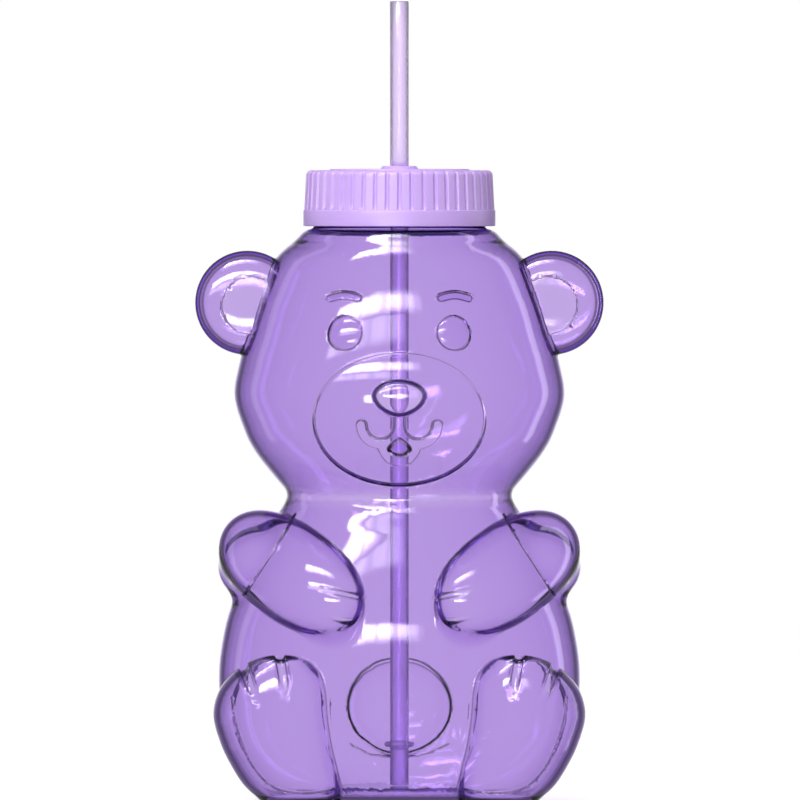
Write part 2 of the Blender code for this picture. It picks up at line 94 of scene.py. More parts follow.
LEG_SECTIONS = (
    (-1.0, 32.1, 12.0, 16.0),
    (2.0, 33.3, 14.0, 17.6),
    (6.3, 35.5, 16.4, 19.4),
    (13.0, 37.9, 18.3, 21.2),
    (20.0, 40.1, 19.4, 22.0),
    (29.0, 41.8, 20.0, 21.8),
    (37.0, 41.4, 18.7, 19.8),
    (43.0, 40.4, 15.2, 16.6),
    (47.2, 39.7, 9.9, 11.6),
    (49.2, 39.3, 4.9, 6.6),
    (49.7, 39.2, 2.0, 3.0),
)
SOLE_FRONT = 51.95
SOLE_ROUNDING = 0.25
LEG_HALF_DEPTH = 22.0
LEG_SQUARENESS = 2.5
PUSH_UP_HEIGHT = 2.9
PUSH_UP_FOOT_RADIUS = 24.0
PUSH_UP_TOP_RADIUS = 19.0
EAR_CENTRE = (50.7, -1.0, 165.7)
EAR_RADIUS = 17.4
EAR_HALF_DEPTH = 8.6
EAR_BLUNTNESS = 3.0
EAR_LEAN = 3.2
DISH_CENTRE = (49.5, 165.0)
DISH_RADIUS = 9.7
DISH_DEPTH = 0.6
DISH_REACH = 0.8
ARM_CENTRE = (35.8, -28.05, 76.3)
ARM_LINE = (-0.59, -0.60, -0.40)
ARM_HALF_SIZES = (16.2, 13.4, 32.3)
ARM_BLUNTNESS = 2.25
SHOULDER_CENTRE = (45.0, -3.0, 77.9)
SHOULDER_HALF_SIZES = (15.4, 17.0, 12.8)
SHOULDER_BLEND = 5.0
SHOULDER_FILLET = 4.0
SHOULDER_FILLET_START = (-20.0, -9.0)
PAW_FILLET = 8.0
PAW_END = (21.0, 56.5)
PAW_END_REACH = 14.0
MUZZLE_CENTRE_Z = 127.3
MUZZLE_HALF_SIZES = (28.9, 22.3)
MUZZLE_RIM = 33.6
MUZZLE_TILT = 3.9
MUZZLE_BOW = 8.2
MUZZLE_DOME = 6.4
MUZZLE_ROUNDING = 1.0
MUZZLE_SIDE_WALL = 0.9
MUZZLE_WALL_TILT = 0.5
MUZZLE_BACK = 24.0
TAIL_HALF_SIZES = (19.4, 14.0, 18.5)
TAIL_RING = (17.9, 16.3)
TAIL_CENTRE_Z = 29.8
TAIL_BACK = 52.0
NOSE_HALF_WIDTH = 9.0
NOSE_TOP = 140.8
NOSE_WIDEST = 135.4
NOSE_TIP = 128.5
NOSE_FRONT = 52.0
NOSE_HALF_DEPTH = 4.0
NOSE_SQUARENESS = 2.6
NOSE_BLUNTNESS = (1.72, 1.95)
NOSE_NEAR = (14.0, 12.0, -36.0)
NOSE_CLEARANCE = 0.3
NOSE_WALL = 1.0
EYE_CENTRE = (17.9, 156.0)
EYE_RADIUS = 5.8
EYE_RISE = 1.9
EYE_RIM_DEPTH = 5.0
EYE_INSET = (0.8, 0.3)
BROW_ENDS = ((13.9, 167.7), (22.9, 167.6))
BROW_ARCH = 0.9
BROW_HALF_WIDTH = 1.25
BROW_RISE = 0.8

# Rounding where a form meets the bear, and the share of softness that adds to it
FILLETS = {
    "waist": (4.5, 1.0), "ear": (0.7, 0.4), "arm": (0.4, 0.2), "leg": (0.8, 0.7),
    "muzzle": (0.6, 0.2), "tail": (0.45, 0.3),
}
CAVITY_SOFTNESS = 3.0

# Rounding of the smaller forms' joints and edges, on the skin and in the cavity
OUTSIDE = {
    "nose": 0.5, "eye": 0.3, "brow": 0.3, "brow_top": 0.5, "tongue": 0.2, "tongue_top": 0.4,
    "thread": 0.5, "neck": 1.0, "base": 1.2, "push_up": 0.8, "push_up_top": 1.0, "section": 1.0,
}
INSIDE = {"nose": 0.6, "eye": 1.4, "base": 2.0, "push_up": 0.8, "neck": 4.5}

# How far below the head's top the neck and its bore blend in
NECK_BLEND_DEPTH = 6.0
BORE_BLEND_DEPTH = 8.0

# Lines moulded into the front, in millimetres seen from the front
MOUTH_HALF_WIDTH = 1.7
MOUTH_DEPTH = 0.25
MOUTH_STEM = ((0.0, 129.6), (0.0, 125.7))
MOUTH_ARC_CENTRE = (6.3, 125.7)
MOUTH_ARC_RADIUS = 6.3
CHIN_LINE = ((6.0, 119.5), (4.9, 116.8), (2.8, 114.3), (0.0, 113.5))
TONGUE_HALF_WIDTH = 3.4
TONGUE_LOW = 115.8
TONGUE_WIDEST = 118.0
TONGUE_TOP = 121.0
TONGUE_BLUNTNESS = (1.3, 2.0)
TONGUE_SCALE = 2.4
TONGUE_RISE = 0.5
TOE_LINES = (
    ((39.9, 50.5), (38.4, 42.0), (37.3, 36.2)),
    ((51.6, 45.6), (49.4, 39.6), (47.4, 35.0)),
)
TOE_LINE_RADIUS = 1.6
TOE_LINE_DEPTH = 1.5
TOE_LINE_FADE = 6.0
TOE_LINE_LOSS = 0.5
FINGER_LINES = (
    ((12.0, 68.6), (18.0, 69.9), (26.0, 71.6)),
    ((15.5, 61.0), (19.0, 61.4), (24.0, 62.6)),
)
FINGER_LINE_RADIUS = 1.1
FINGER_LINE_DEPTH = 0.6
FINGER_LINE_FADE = 6.0
SOLE_LINE = (
    (55.4, 35.6), (54.6, 30.0), (53.2, 24.4), (51.4, 19.2), (48.9, 13.9), (45.9, 9.7), (41.6, 6.2),
    (36.0, 4.4), (28.0, 4.3), (21.8, 5.2),
)
ARM_SEAM = ((34.6, 95.5), (38.4, 89.0), (44.9, 79.0), (51.5, 68.7))
TAIL_FOLD = ((16.6, 17.2), (13.0, 15.1), (9.0, 13.6), (4.5, 12.8), (0.0, 12.5))

# Roundings of the moulded lines, and how far from one its distance is kept, in millimetres
GROOVE_ROUNDING = 0.5
CHANNEL_ROUNDING = 0.2
CHANNEL_CORNER = 0.3
CREASE_ROUNDING = 0.12
LINE_REACH = 3.0

# How far off the plain head the face's lines end, and how far forward the limbs' lines begin
FACE_REACH = 0.6
LINE_FRONT = 20.0

# Fine V-shaped lines, each its half width and depth in millimetres
MOUTH_CREASE = (0.45, 1.2)
MOUTH_LOW_SHARE = 0.5
TONGUE_CREASE = (0.6, 1.3)
EYE_CREASE = (0.5, 1.15)
EYE_SHARES = (0.55, 0.9, 0.3)
EYE_INNER_SHARE = 0.3
EYE_OUTER_SHARE = 1.1
BROW_CREASE = (0.5, 1.15)
BROW_LOW_SHARE = 0.4
BROW_MIDDLE_SHARE = 0.7
MUZZLE_CREASE = (0.3, 0.6)
MUZZLE_SHARE_SLOPE = 0.02
MUZZLE_SHARE_LIMITS = (0.8, 1.4)
DISH_CREASE = (0.3, 0.6)
SOLE_CREASE = (0.34, 0.45)
ARM_SEAM_CREASE = (0.4, 0.75)
TAIL_CREASE = (0.3, 0.45)
TAIL_FOLD_CREASE = (0.4, 0.32)

# Threads on the neck and in the lid, in millimetres
THREAD_PITCH = 4.2
THREAD_TURNS = 1.5
THREAD_HEIGHT = 0.6
THREAD_HALF_WIDTH = 1.0
THREAD_START = 195.6
LID_THREAD_STEPS = 240
LID_THREAD_SIDES = 10
LID_THREAD_EASE = 14.0
LID_THREAD_TIP = 0.15
LID_THREAD_ROOT = 0.2

# Lid, gasket and straw, in millimetres
LID_BORE = 30.0
LID_BAND_TOP = 196.7
LID_GRIP_RADIUS = 31.7
LID_TOP_RADIUS = 31.1
LID_HEIGHT = 18.6
LID_CORNER = 1.8
LID_EDGE = 0.35
LID_PLATE = 2.2
LID_PANEL_RADIUS = 23.2
LID_PANEL_RISE = 0.4
LID_PANEL_FOOT = 0.15
LID_PANEL_EDGE = 0.2
LID_INNER_EDGE = 0.8
BOSS_RADIUS = 5.8
BOSS_FOOT_RADIUS = 6.1
BOSS_EDGE = 0.4
STRAW_HOLE = 3.4
STRAW_HOLE_EDGE = 0.3
GRIP_COUNT = 48
GRIP_HALF_WIDTH = 0.75
GRIP_DEPTH = 0.85
GRIP_FADE = 2.4
GRIP_END = 0.5
GRIP_STEPS = 20
SEAL_WIDTH = 3.6
SEAL_ROUNDING = 0.5
SEAL_SIDES = 192
STRAW_RADIUS = 3.1
STRAW_BORE = 2.5
STRAW_END = 4.0
STRAW_SIDES = 96
STOP_RADIUS = 5.0
STOP_THICKNESS = 1.8
STOP_CENTRE_Z = 18.6
STOP_ROOT = 0.5

# Colours, as linear light
BODY_TINT = (0.505, 0.193, 0.85, 1.0)
BODY_TINT_DENSITY = 400.0
LID_COLOUR = (0.62, 0.42, 0.90)
STRAW_COLOUR = (0.88, 0.80, 0.96)
GASKET_COLOUR = (0.72, 0.69, 0.78)
BODY_SHADOW = (0.82, 0.74, 0.93)
STRAW_SHADOW = (0.6, 0.5, 0.75)
BODY_PREVIEW = (0.46, 0.32, 0.72, 0.4)
PLASTIC_IOR = 1.49

# Unevenness of each surface: scale and detail of the noise, strength and height of the bumps
BODY_BUMPS = (55.0, 2.0, 0.05, 0.0006)
LID_BUMPS = (900.0, 3.0, 0.12, 0.00015)
STRAW_BUMPS = (400.0, 3.0, 0.06, 0.0002)
GASKET_BUMPS = (1400.0, 3.0, 0.2, 0.0001)

# The room as its light reaches the bottle, from in front to behind
ROOM_FRONT = 0.42
ROOM_BACK = 1.0
ROOM_STEPS = (
    (0.50, 0.42), (0.66, 0.36), (0.76, 0.22), (0.90, 0.19), (0.955, 0.24), (0.978, 0.60),
    (0.990, 0.95),
)

# Windows: azimuths of the sides, heights in metres, brightness, and what is left at the far left
WINDOWS = (
    ("window_middle", (-46.0, 18.0), (0.315, 0.41), 95.0, 0.16),
    ("window_haze", (-48.0, 6.0), (0.26, 0.335), 20.0, 0.6),
    ("window_high", (-50.0, 22.0), (0.64, 1.05), 95.0, 0.06),
    ("window_low", (-26.0, 14.0), (0.10, 0.168), 85.0, 0.06),
)
WINDOW_DISTANCE = 0.4
WINDOW_STREAKS = 9.0

# Where a window's edges have faded in: shares of its height, and of its width from the right
WINDOW_SOFTNESS = 0.38
WINDOW_RIGHT = 0.12
WINDOW_LEFT = 0.9
WINDOW_LEFT_FADE = 0.4
WINDOW_STREAK_RANGE = (0.3, 0.6)
WINDOW_STREAK_LEAST = 0.45

# Soft lamps, each its azimuth, elevation and power in watts, and strips, each its side and power
SOFT_LAMPS = (("key", -20.0, 35.0, 15.5), ("top", 0.0, 82.0, 5.0))
SOFT_LAMP_DISTANCE = 1.5
SOFT_LAMP_SIZE = (1.0, 1.0)
STRIPS = ((1.0, 1.5), (-1.0, 0.5))
STRIP_AZIMUTH = 112.0
STRIP_ELEVATION = 14.0
STRIP_DISTANCE = 0.9
STRIP_SIZE = (0.15, 1.5)

# Floor, in metres
FLOOR_RADIUS = 1.6
FLOOR_SIDES = 128
FLOOR_GAP = 0.0002
FLOOR_COLOUR = (0.62, 0.62, 0.63)
FLOOR_GLOW = 0.71

# Camera, in metres and degrees, with its sensor in millimetres
CAMERA_SENSOR = 36.0
CAMERA_CLIP = (0.1, 50.0)
CAMERA_DISTANCE = 6.0
CAMERA_WIDTH_SEEN = 0.26667
CAMERA_ELEVATION = 0.9
CAMERA_TARGET = (0.0002, 0.0, 0.1333)
MIDDLE = (0.0, 0.0, 0.12)

# How finely the bear is cut, in millimetres
SKIN_STEP = 1.6
CAVITY_STEP = 2.0
FAR = 50.0
REFINE_ROUNDS = 5
TURN_LIMIT = 11.0
SHORTEST_EDGE = 0.4
LENGTH_SPARE = 1.45
SLOPE_STEP = 0.02
LEAST_SLOPE = 0.05
TOUCH = 0.01
RIM_MERGE = 0.2
SINK_DEPTH = 2.0
SINK_RISE = 1.6
SINK_ROUNDS = 11
SHARP_ANGLE = 38.0


# Interpolation along sections
def curve_between(before, start, end, after, t):
    return 0.5 * (
        2.0 * start
        + (end - before) * t
        + (2.0 * before - 5.0 * start + 4.0 * end - after) * t * t
        + (3.0 * start - before - 3.0 * end + after) * t * t * t
    )


def fine_table(sections, steps=12):
    """The sections' smooth curve as arrays, one for each column."""
    last = len(sections) - 1
    rows = []
    for index in range(last):
        before = sections[max(index - 1, 0)]
        after = sections[min(index + 2, last)]
        pair = (sections[index], sections[index + 1])
        for step in range(steps):
            t = step / steps
            rows.append([curve_between(a, b, c, d, t) for a, b, c, d in zip(before, *pair, after)])
    rows.append(list(sections[last]))
    return np.array(rows).T


# Distances, in millimetres, negative inside
def stacked(p, table, squareness=2.0):
    """Signed distance from sections of height, centre x, centre y, half width and half depth."""
    height = table[0]
    z = np.clip(p[:, 2], height[0], height[-1])
    slopes = [np.clip(np.gradient(column, height), -1.2, 1.2) for column in table[1:]]
    cx, cy, hx, hy = [np.interp(z, height, column) for column in table[1:]]
    cx_s, cy_s, hx_s, hy_s = [np.interp(z, height, slope) for slope in slopes]
    u = (p[:, 0] - cx) / hx
    v = (p[:, 1] - cy) / hy
    n = squareness
    rho = (np.abs(u) ** n + np.abs(v) ** n) ** (1.0 / n) + 1e-9
    du = rho ** (1.0 - n) * np.abs(u) ** (n - 1.0) * np.sign(u) / hx
    dv = rho ** (1.0 - n) * np.abs(v) ** (n - 1.0) * np.sign(v) / hy
    dz = -(du * (cx_s + u / rho * hx_s) + dv * (cy_s + v / rho * hy_s))
    side = (rho - 1.0) / np.sqrt(du * du + dv * dv + dz * dz + 1e-12)
    ends = np.maximum(p[:, 2] - height[-1], height[0] - p[:, 2])
    return blend_both(side, ends, OUTSIDE["section"])


def rounded(p, centre, axes, half_sizes, bluntness=2.0):
    """Signed distance from a blunt-ended oval body whose long axis is the last of axes."""
    q = (p - np.array(centre)) @ np.array(axes).T / np.array(half_sizes)
    across = np.sqrt(q[:, 0] ** 2 + q[:, 1] ** 2) + 1e-9
    along = np.abs(q[:, 2]) + 1e-9
    n = bluntness
    rho = (across**n + along**n) ** (1.0 / n)
    share = rho ** (1.0 - n)
    gx = share * across ** (n - 2.0) * q[:, 0] / half_sizes[0]
    gy = share * across ** (n - 2.0) * q[:, 1] / half_sizes[1]
    gz = share * along ** (n - 1.0) / half_sizes[2]
    return (rho - 1.0) / np.sqrt(gx * gx + gy * gy + gz * gz + 1e-12)


def blend_union(a, b, k):
    h = np.maximum(k - np.abs(a - b), 0.0) / k
    return np.minimum(a, b) - h * h * k * 0.25


def blend_cut(a, b, k):
    """a without b, with the edge rounded by k."""
    return -blend_union(-a, b, k)


def blend_both(a, b, k):
    """What a and b share, with the edge rounded by k."""
    return -blend_union(-a, -b, k)


def folded(p):
    """The points, with those left of the middle plane mirrored to its right."""
    return np.column_stack([np.abs(p[:, 0]), p[:, 1], p[:, 2]])


def from_axis(p):
    return np.hypot(p[:, 0], p[:, 1])


def seen_from(p, place):
    """Distance from a place (x, z) or its mirror image, seen from the front."""
    return np.hypot(np.abs(p[:, 0]) - place[0], p[:, 2] - place[1])


def cut_where(d, cutter, side, rounding):
    """d without the cutter where side is above 0."""
    return blend_cut(d, np.where(side > 0.0, cutter, FAR), rounding)


UPRIGHT = np.eye(3)
HEAD_TABLE = fine_table([(z, 0.0, 0.0, w, d) for z, w, d in HEAD_SECTIONS])
TORSO_TABLE = fine_table([(z, 0.0, 0.0, w, d) for z, w, d in TORSO_SECTIONS])


def leg_table():
    rows = []
    for z, centre, half_width, half_depth in LEG_SECTIONS:
        centre_y = half_depth - SOLE_FRONT + SOLE_ROUNDING * (LEG_HALF_DEPTH - half_depth)
        rows.append((z, centre, centre_y, half_width, half_depth))
    return fine_table(rows)


LEG_TABLE = leg_table()


def arm_axes():
    line = Vector(ARM_LINE).normalized()
    up = Vector((0.0, 1.0, 0.0)).cross(line).normalized()
    return [up, line.cross(up), line]


ARM_AXES = np.array(arm_axes())


def face_depth(x, z):
    """How far forward the plain face lies at a point seen from the front."""
    half_width = np.interp(z, HEAD_TABLE[0], HEAD_TABLE[3])
    half_depth = np.interp(z, HEAD_TABLE[0], HEAD_TABLE[4])
    return half_depth * math.sqrt(1.0 - (x / half_width) ** 2)


def muzzle_side(p):
    """How far a point is outside the muzzle's oval, seen from the front."""
    half_width, half_height = MUZZLE_HALF_SIZES
    u = p[:, 0] / half_width
    v = (p[:, 2] - MUZZLE_CENTRE_Z) / half_height
    rho = np.hypot(u, v) + 1e-9
    return (rho - 1.0) * rho / np.hypot(u / half_width, v / half_height)


def muzzle(p, wall=0.0):
    """Signed distance from the muzzle, an oval with a bowed and domed front, drawn in by wall."""
    half_width, half_height = MUZZLE_HALF_SIZES
    u = p[:, 0] / half_width
    v = (p[:, 2] - MUZZLE_CENTRE_Z) / half_height
    share = np.clip(1.0 - MUZZLE_WALL_TILT * v, 1.0 - MUZZLE_WALL_TILT, 1.0 + MUZZLE_WALL_TILT)
    side = muzzle_side(p) + min(wall, MUZZLE_SIDE_WALL) * share
    reach = MUZZLE_RIM + MUZZLE_TILT * v + MUZZLE_BOW * (1.0 - u * u) + MUZZLE_DOME * (1.0 - v * v)
    slope_x = 2.0 * MUZZLE_BOW * u / half_width
    slope_z = (MUZZLE_TILT - 2.0 * MUZZLE_DOME * v) / half_height
    front = (-p[:, 1] - reach) / np.sqrt(1.0 + slope_x**2 + slope_z**2) + wall
    return np.maximum(blend_both(side, front, MUZZLE_ROUNDING), p[:, 1] + MUZZLE_BACK)


def seen_gap(p, points):
    """Distance from a line of points (x, z) as seen from the front, where it is near."""
    points = np.asarray(points, float)
    out = np.full(len(p), FAR)
    q = folded(p)[:, [0, 2]]
    low = points.min(axis=0) - LINE_REACH
    high = points.max(axis=0) + LINE_REACH
    near = np.all((q > low) & (q < high), axis=1)
    q = q[near]
    best = np.full(len(q), FAR)
    for start, end in zip(points, points[1:]):
        line = end - start
        t = np.clip(((q - start) @ line) / (line @ line), 0.0, 1.0)
        best = np.minimum(best, np.linalg.norm(q - start - t[:, None] * line, axis=1))
    out[near] = best
    return out


def smooth_line(points):
    """More points along the smooth curve through a few, for lines that don't turn back."""
    return [tuple(row) for row in fine_table(points, 8).T]


def groove(d, gap, radius, depth, side):
    """Cuts a round-bottomed groove of that depth where side is above 0."""
    cutter = np.sqrt(gap**2 + (d + depth - radius) ** 2) - radius
    return cut_where(d, cutter, side, GROOVE_ROUNDING)


def channel(d, gap, half_width, depth, side):
    """Cuts a flat-bottomed groove with steep sides where side is above 0."""
    cutter = blend_both(gap - half_width, -d - depth, CHANNEL_CORNER)
    return cut_where(d, cutter, side, CHANNEL_ROUNDING)


def lined(p, d, lines, radius, depth, fade):
    """The front of a form with grooves along its lines, each running out at its last point."""
    for line in lines:
        left = depth * np.minimum(seen_from(p, line[-1]) / fade, 1.0)
        d = groove(d, seen_gap(p, smooth_line(line)), radius, left, -p[:, 1] - LINE_FRONT)
    return d


def crease(d, gap, size, side, share=1.0):
    """Cuts a V-shaped line of a half width and depth, both times share, where side is above 0."""
    half_width = size[0] * share
    depth = size[1] * share
    cutter = (gap * depth - half_width * (d + depth)) / np.hypot(half_width, depth)
    return cut_where(d, cutter, side, CREASE_ROUNDING)


def mouth_arc(steps=16):
    centre_x, centre_z = MOUTH_ARC_CENTRE
    angles = [math.pi * (1.0 + step / steps) for step in range(steps + 1)]
    radius = MOUTH_ARC_RADIUS
    return [(centre_x + radius * math.cos(a), centre_z + radius * math.sin(a)) for a in angles]


MOUTH_ARC = mouth_arc()
CHIN_CURVE = smooth_line(CHIN_LINE)
TAIL_FOLD_LINE = smooth_line(TAIL_FOLD)
SOLE_CURVE = smooth_line(SOLE_LINE)
ARM_SEAM_CURVE = smooth_line(ARM_SEAM)


def mouth_gap(p):
    """Distance from the lines of the mouth, seen from the front."""
    gap = np.minimum(seen_gap(p, MOUTH_ARC), seen_gap(p, MOUTH_STEM))
    return np.minimum(gap, seen_gap(p, CHIN_CURVE))


def ears(p):
    sizes = (EAR_RADIUS, EAR_RADIUS, EAR_HALF_DEPTH)
    lean = math.radians(EAR_LEAN)
    upward = (0.0, math.sin(lean), math.cos(lean))
    through = (0.0, math.cos(lean), -math.sin(lean))
    axes = ((1.0, 0.0, 0.0), upward, through)
    return rounded(folded(p), EAR_CENTRE, axes, sizes, EAR_BLUNTNESS)


def ear_dish(p, d):
    """The surface with a shallow round recess in each ear, and a line round it."""
    near = np.where(ears(p) < DISH_REACH, EAR_CENTRE[1] - p[:, 1], -1.0)
    radius = seen_from(p, DISH_CENTRE)
    d = channel(d, radius, DISH_RADIUS, DISH_DEPTH, near)
    return crease(d, np.abs(radius - DISH_RADIUS), DISH_CREASE, near)


def tail(p):
    centre = (0.0, TAIL_BACK - TAIL_HALF_SIZES[1], TAIL_CENTRE_Z)
    return rounded(p, centre, UPRIGHT, TAIL_HALF_SIZES)


def tail_ring_gap(p):
    """Distance from the tail's oval outline, seen from behind."""
    half_width, half_height = TAIL_RING
    size = np.hypot(p[:, 0] / half_width, (p[:, 2] - TAIL_CENTRE_Z) / half_height)
    return np.abs(size - 1.0) * (half_width + half_height) / 2.0


def fillet(name, soft):
    """Rounding of a joint between forms; soft adds to it."""
    plain, share = FILLETS[name]
    return plain + share * soft


def arm_fillet(p, soft):
    """How far the arm's joint with the torso is rounded: more at the shoulder and the paw's end."""
    shoulder = np.interp(p[:, 1], SHOULDER_FILLET_START, (0.0, SHOULDER_FILLET))
    paw = PAW_FILLET * np.clip(1.0 - seen_from(p, PAW_END) / PAW_END_REACH, 0.0, 1.0)
    return fillet("arm", soft) + np.maximum(shoulder, paw)


def body_forms(p, soft, wall, toe_depth):
    """Signed distance from the bear's main forms drawn in by wall; soft adds to every fillet."""
    mirrored = folded(p)
    d = blend_union(stacked(p, HEAD_TABLE), stacked(p, TORSO_TABLE), fillet("waist", soft))
    d = blend_union(d, ears(p), fillet("ear", soft))
    arm = rounded(mirrored, ARM_CENTRE, ARM_AXES, ARM_HALF_SIZES, ARM_BLUNTNESS)
    shoulder = rounded(mirrored, SHOULDER_CENTRE, UPRIGHT, SHOULDER_HALF_SIZES)
    arm = blend_union(arm, shoulder, SHOULDER_BLEND)
    leg = stacked(mirrored, LEG_TABLE, LEG_SQUARENESS)
    leg = lined(p, leg + wall, TOE_LINES, TOE_LINE_RADIUS + wall, toe_depth, TOE_LINE_FADE)
    d = blend_union(d + wall, arm + wall, arm_fillet(p, soft))
    d = blend_union(d, leg, fillet("leg", soft))
    d = blend_union(d, muzzle(p, wall), fillet("muzzle", soft))
    return blend_union(d, tail(p) + wall, fillet("tail", soft))


def rounded_kite(p, half_width, tip, widest, far, bluntness):
    """Size of an outline with a narrow tip and a rounder far end: 1 on it, less inside."""
    towards_tip = (p[:, 2] - widest) * (tip - widest) > 0.0
    half_height = np.where(towards_tip, abs(tip - widest), abs(far - widest))
    u = np.abs(p[:, 0]) / half_width + 1e-6
    v = np.abs(p[:, 2] - widest) / half_height + 1e-6
    n = np.where(towards_tip, bluntness[0], bluntness[1])
    return (u**n + v**n) ** (1.0 / n)


def nose(p):
    """Signed distance from the nose, a pad with steep sides, where it is near."""
    out = np.full(len(p), FAR)
    beside, above, back = NOSE_NEAR
    near = (np.abs(p[:, 0]) < beside) & (np.abs(p[:, 2] - NOSE_WIDEST) < above) & (p[:, 1] < back)
    q = p[near]
    base, slope = gradient(nose_size, q)
    out[near] = base / np.maximum(np.linalg.norm(slope, axis=1), LEAST_SLOPE)
    return out


def nose_size(p):
    """1 on the nose's surface, less inside."""
    outline = rounded_kite(p, NOSE_HALF_WIDTH, NOSE_TIP, NOSE_WIDEST, NOSE_TOP, NOSE_BLUNTNESS)
    w = np.abs(p[:, 1] + NOSE_FRONT - NOSE_HALF_DEPTH) / NOSE_HALF_DEPTH + 1e-6
    n = NOSE_SQUARENESS
    return (outline**n + w**n) ** (1.0 / n) - 1.0


def eye_axes():
    """Axes of the right eye's dome, with the middle one square to the face."""
    x, z = EYE_CENTRE
    reach = 0.5
    across = Vector((2.0 * reach, face_depth(x - reach, z) - face_depth(x + reach, z), 0.0))
    upward = Vector((0.0, face_depth(x, z - reach) - face_depth(x, z + reach), 2.0 * reach))
    out = across.cross(upward).normalized()
    across = (across - out * across.dot(out)).normalized()
    return [across, out, across.cross(out)]


EYE_AXES = np.array(eye_axes())


def eye_rim(p):
    """How far a point is outside the eyes' round outlines, seen square to the face."""
    x, z = EYE_CENTRE
    q = (folded(p) - np.array((x, -face_depth(x, z), z))) @ EYE_AXES.T
    return np.where(np.abs(q[:, 1]) < EYE_RIM_DEPTH, np.hypot(q[:, 0], q[:, 2]) - EYE_RADIUS, FAR)


def eyes(p, inset=0.0):
    """Signed distance from the eyes' domes, or from their insides where inset is the wall."""
    x, z = EYE_CENTRE
    centre = np.array((x, -face_depth(x, z), z)) - inset * EYE_AXES[1] * np.sign(-EYE_AXES[1, 1])
    radius, rise = EYE_RADIUS, EYE_RISE
    if inset:
        radius -= EYE_INSET[0]
        rise -= EYE_INSET[1]
    return rounded(folded(p), centre, EYE_AXES, (radius, rise, radius))


def brow_points(steps=8):
    (x0, z0), (x1, z1) = BROW_ENDS
    shares = [step / steps for step in range(steps + 1)]
    rise = BROW_ARCH
    return [(x0 + (x1 - x0) * t, z0 + (z1 - z0) * t + rise * math.sin(math.pi * t)) for t in shares]


BROW_POINTS = brow_points()


def brow_outline(p):
    """How far a point is outside the eyebrows, seen from the front."""
    return np.where(p[:, 1] < 0.0, seen_gap(p, BROW_POINTS) - BROW_HALF_WIDTH, FAR)


def brow_top_share(p):
    """1 above the middle of an eyebrow and less below it."""
    (x0, z0), (x1, z1) = BROW_ENDS
    t = np.clip((np.abs(p[:, 0]) - x0) / (x1 - x0), 0.0, 1.0)
    middle = z0 + (z1 - z0) * t + BROW_ARCH * np.sin(math.pi * t)
    share = BROW_MIDDLE_SHARE + (p[:, 2] - middle) / (2.0 * BROW_HALF_WIDTH)
    return np.clip(share, BROW_LOW_SHARE, 1.0)


def tongue_outline(p):
    """About how far a point is outside the tongue, seen from the front."""
    heights = (TONGUE_TOP, TONGUE_WIDEST, TONGUE_LOW)
    size = rounded_kite(p, TONGUE_HALF_WIDTH, *heights, TONGUE_BLUNTNESS)
    return (size - 1.0) * TONGUE_SCALE


def tongue(p):
    inside = np.where(p[:, 1] < 0.0, tongue_outline(p), FAR)
    return blend_both(inside, muzzle(p) - TONGUE_RISE, OUTSIDE["tongue_top"])


def thread_ridge(p):
    """Signed distance from the thread round the neck, where it is near."""
    radius = from_axis(p)
    out = np.full(len(p), FAR)
    high = THREAD_START + THREAD_TURNS * THREAD_PITCH + 3.0
    near = (radius > NECK_RADIUS - 3.0) & (p[:, 2] > THREAD_START - 3.0) & (p[:, 2] < high)
    q = p[near]
    angle = np.mod(np.arctan2(q[:, 1], q[:, 0]), 2.0 * math.pi) / (2.0 * math.pi)
    best = np.full(len(q), FAR)
    for lap in range(int(math.ceil(THREAD_TURNS))):
        turned = np.clip(angle + lap, 0.0, THREAD_TURNS)
        rise = q[:, 2] - THREAD_START - turned * THREAD_PITCH
        past = (angle + lap - turned) * 2.0 * math.pi * NECK_RADIUS
        across = np.sqrt(rise**2 + past**2) / THREAD_HALF_WIDTH
        height = (radius[near] - NECK_RADIUS) / THREAD_HEIGHT
        best = np.minimum(best, (np.sqrt(across**2 + height**2) - 1.0) * THREAD_HEIGHT)
    out[near] = best
    return out


def push_up(p, wall):
    """Signed distance from the raised panel in the base, made larger by wall."""
    radius = from_axis(p)
    slope = (PUSH_UP_FOOT_RADIUS - PUSH_UP_TOP_RADIUS) / PUSH_UP_HEIGHT
    side = (radius - PUSH_UP_FOOT_RADIUS - wall + slope * (p[:, 2] - wall)) / math.hypot(1.0, slope)
    return blend_both(side, p[:, 2] - PUSH_UP_HEIGHT - wall, OUTSIDE["push_up_top"])


def plain_skin(p):
    """The outside of the bear with its features, standing rim and neck, before the fine lines."""
    d = body_forms(p, 0.0, 0.0, TOE_LINE_DEPTH)
    d = blend_union(d, nose(p), OUTSIDE["nose"])
    d = blend_union(d, eyes(p), OUTSIDE["eye"])
    brow = blend_both(brow_outline(p), d - BROW_RISE, OUTSIDE["brow_top"])
    d = blend_union(d, brow, OUTSIDE["brow"])
    radius = from_axis(p)
    neck = np.maximum(radius - NECK_RADIUS, NECK_ROOT - p[:, 2])
    neck = blend_union(neck, thread_ridge(p), OUTSIDE["thread"])
    neck = np.maximum(neck, p[:, 2] - BODY_HIGH[2] - NECK_SPARE)
    joined = blend_union(d, neck, OUTSIDE["neck"])
    d = np.where(p[:, 2] > SHOULDER_TOP - NECK_BLEND_DEPTH, joined, d)
    d = blend_cut(d, p[:, 2], OUTSIDE["base"])
    return blend_cut(d, push_up(p, 0.0), OUTSIDE["push_up"])


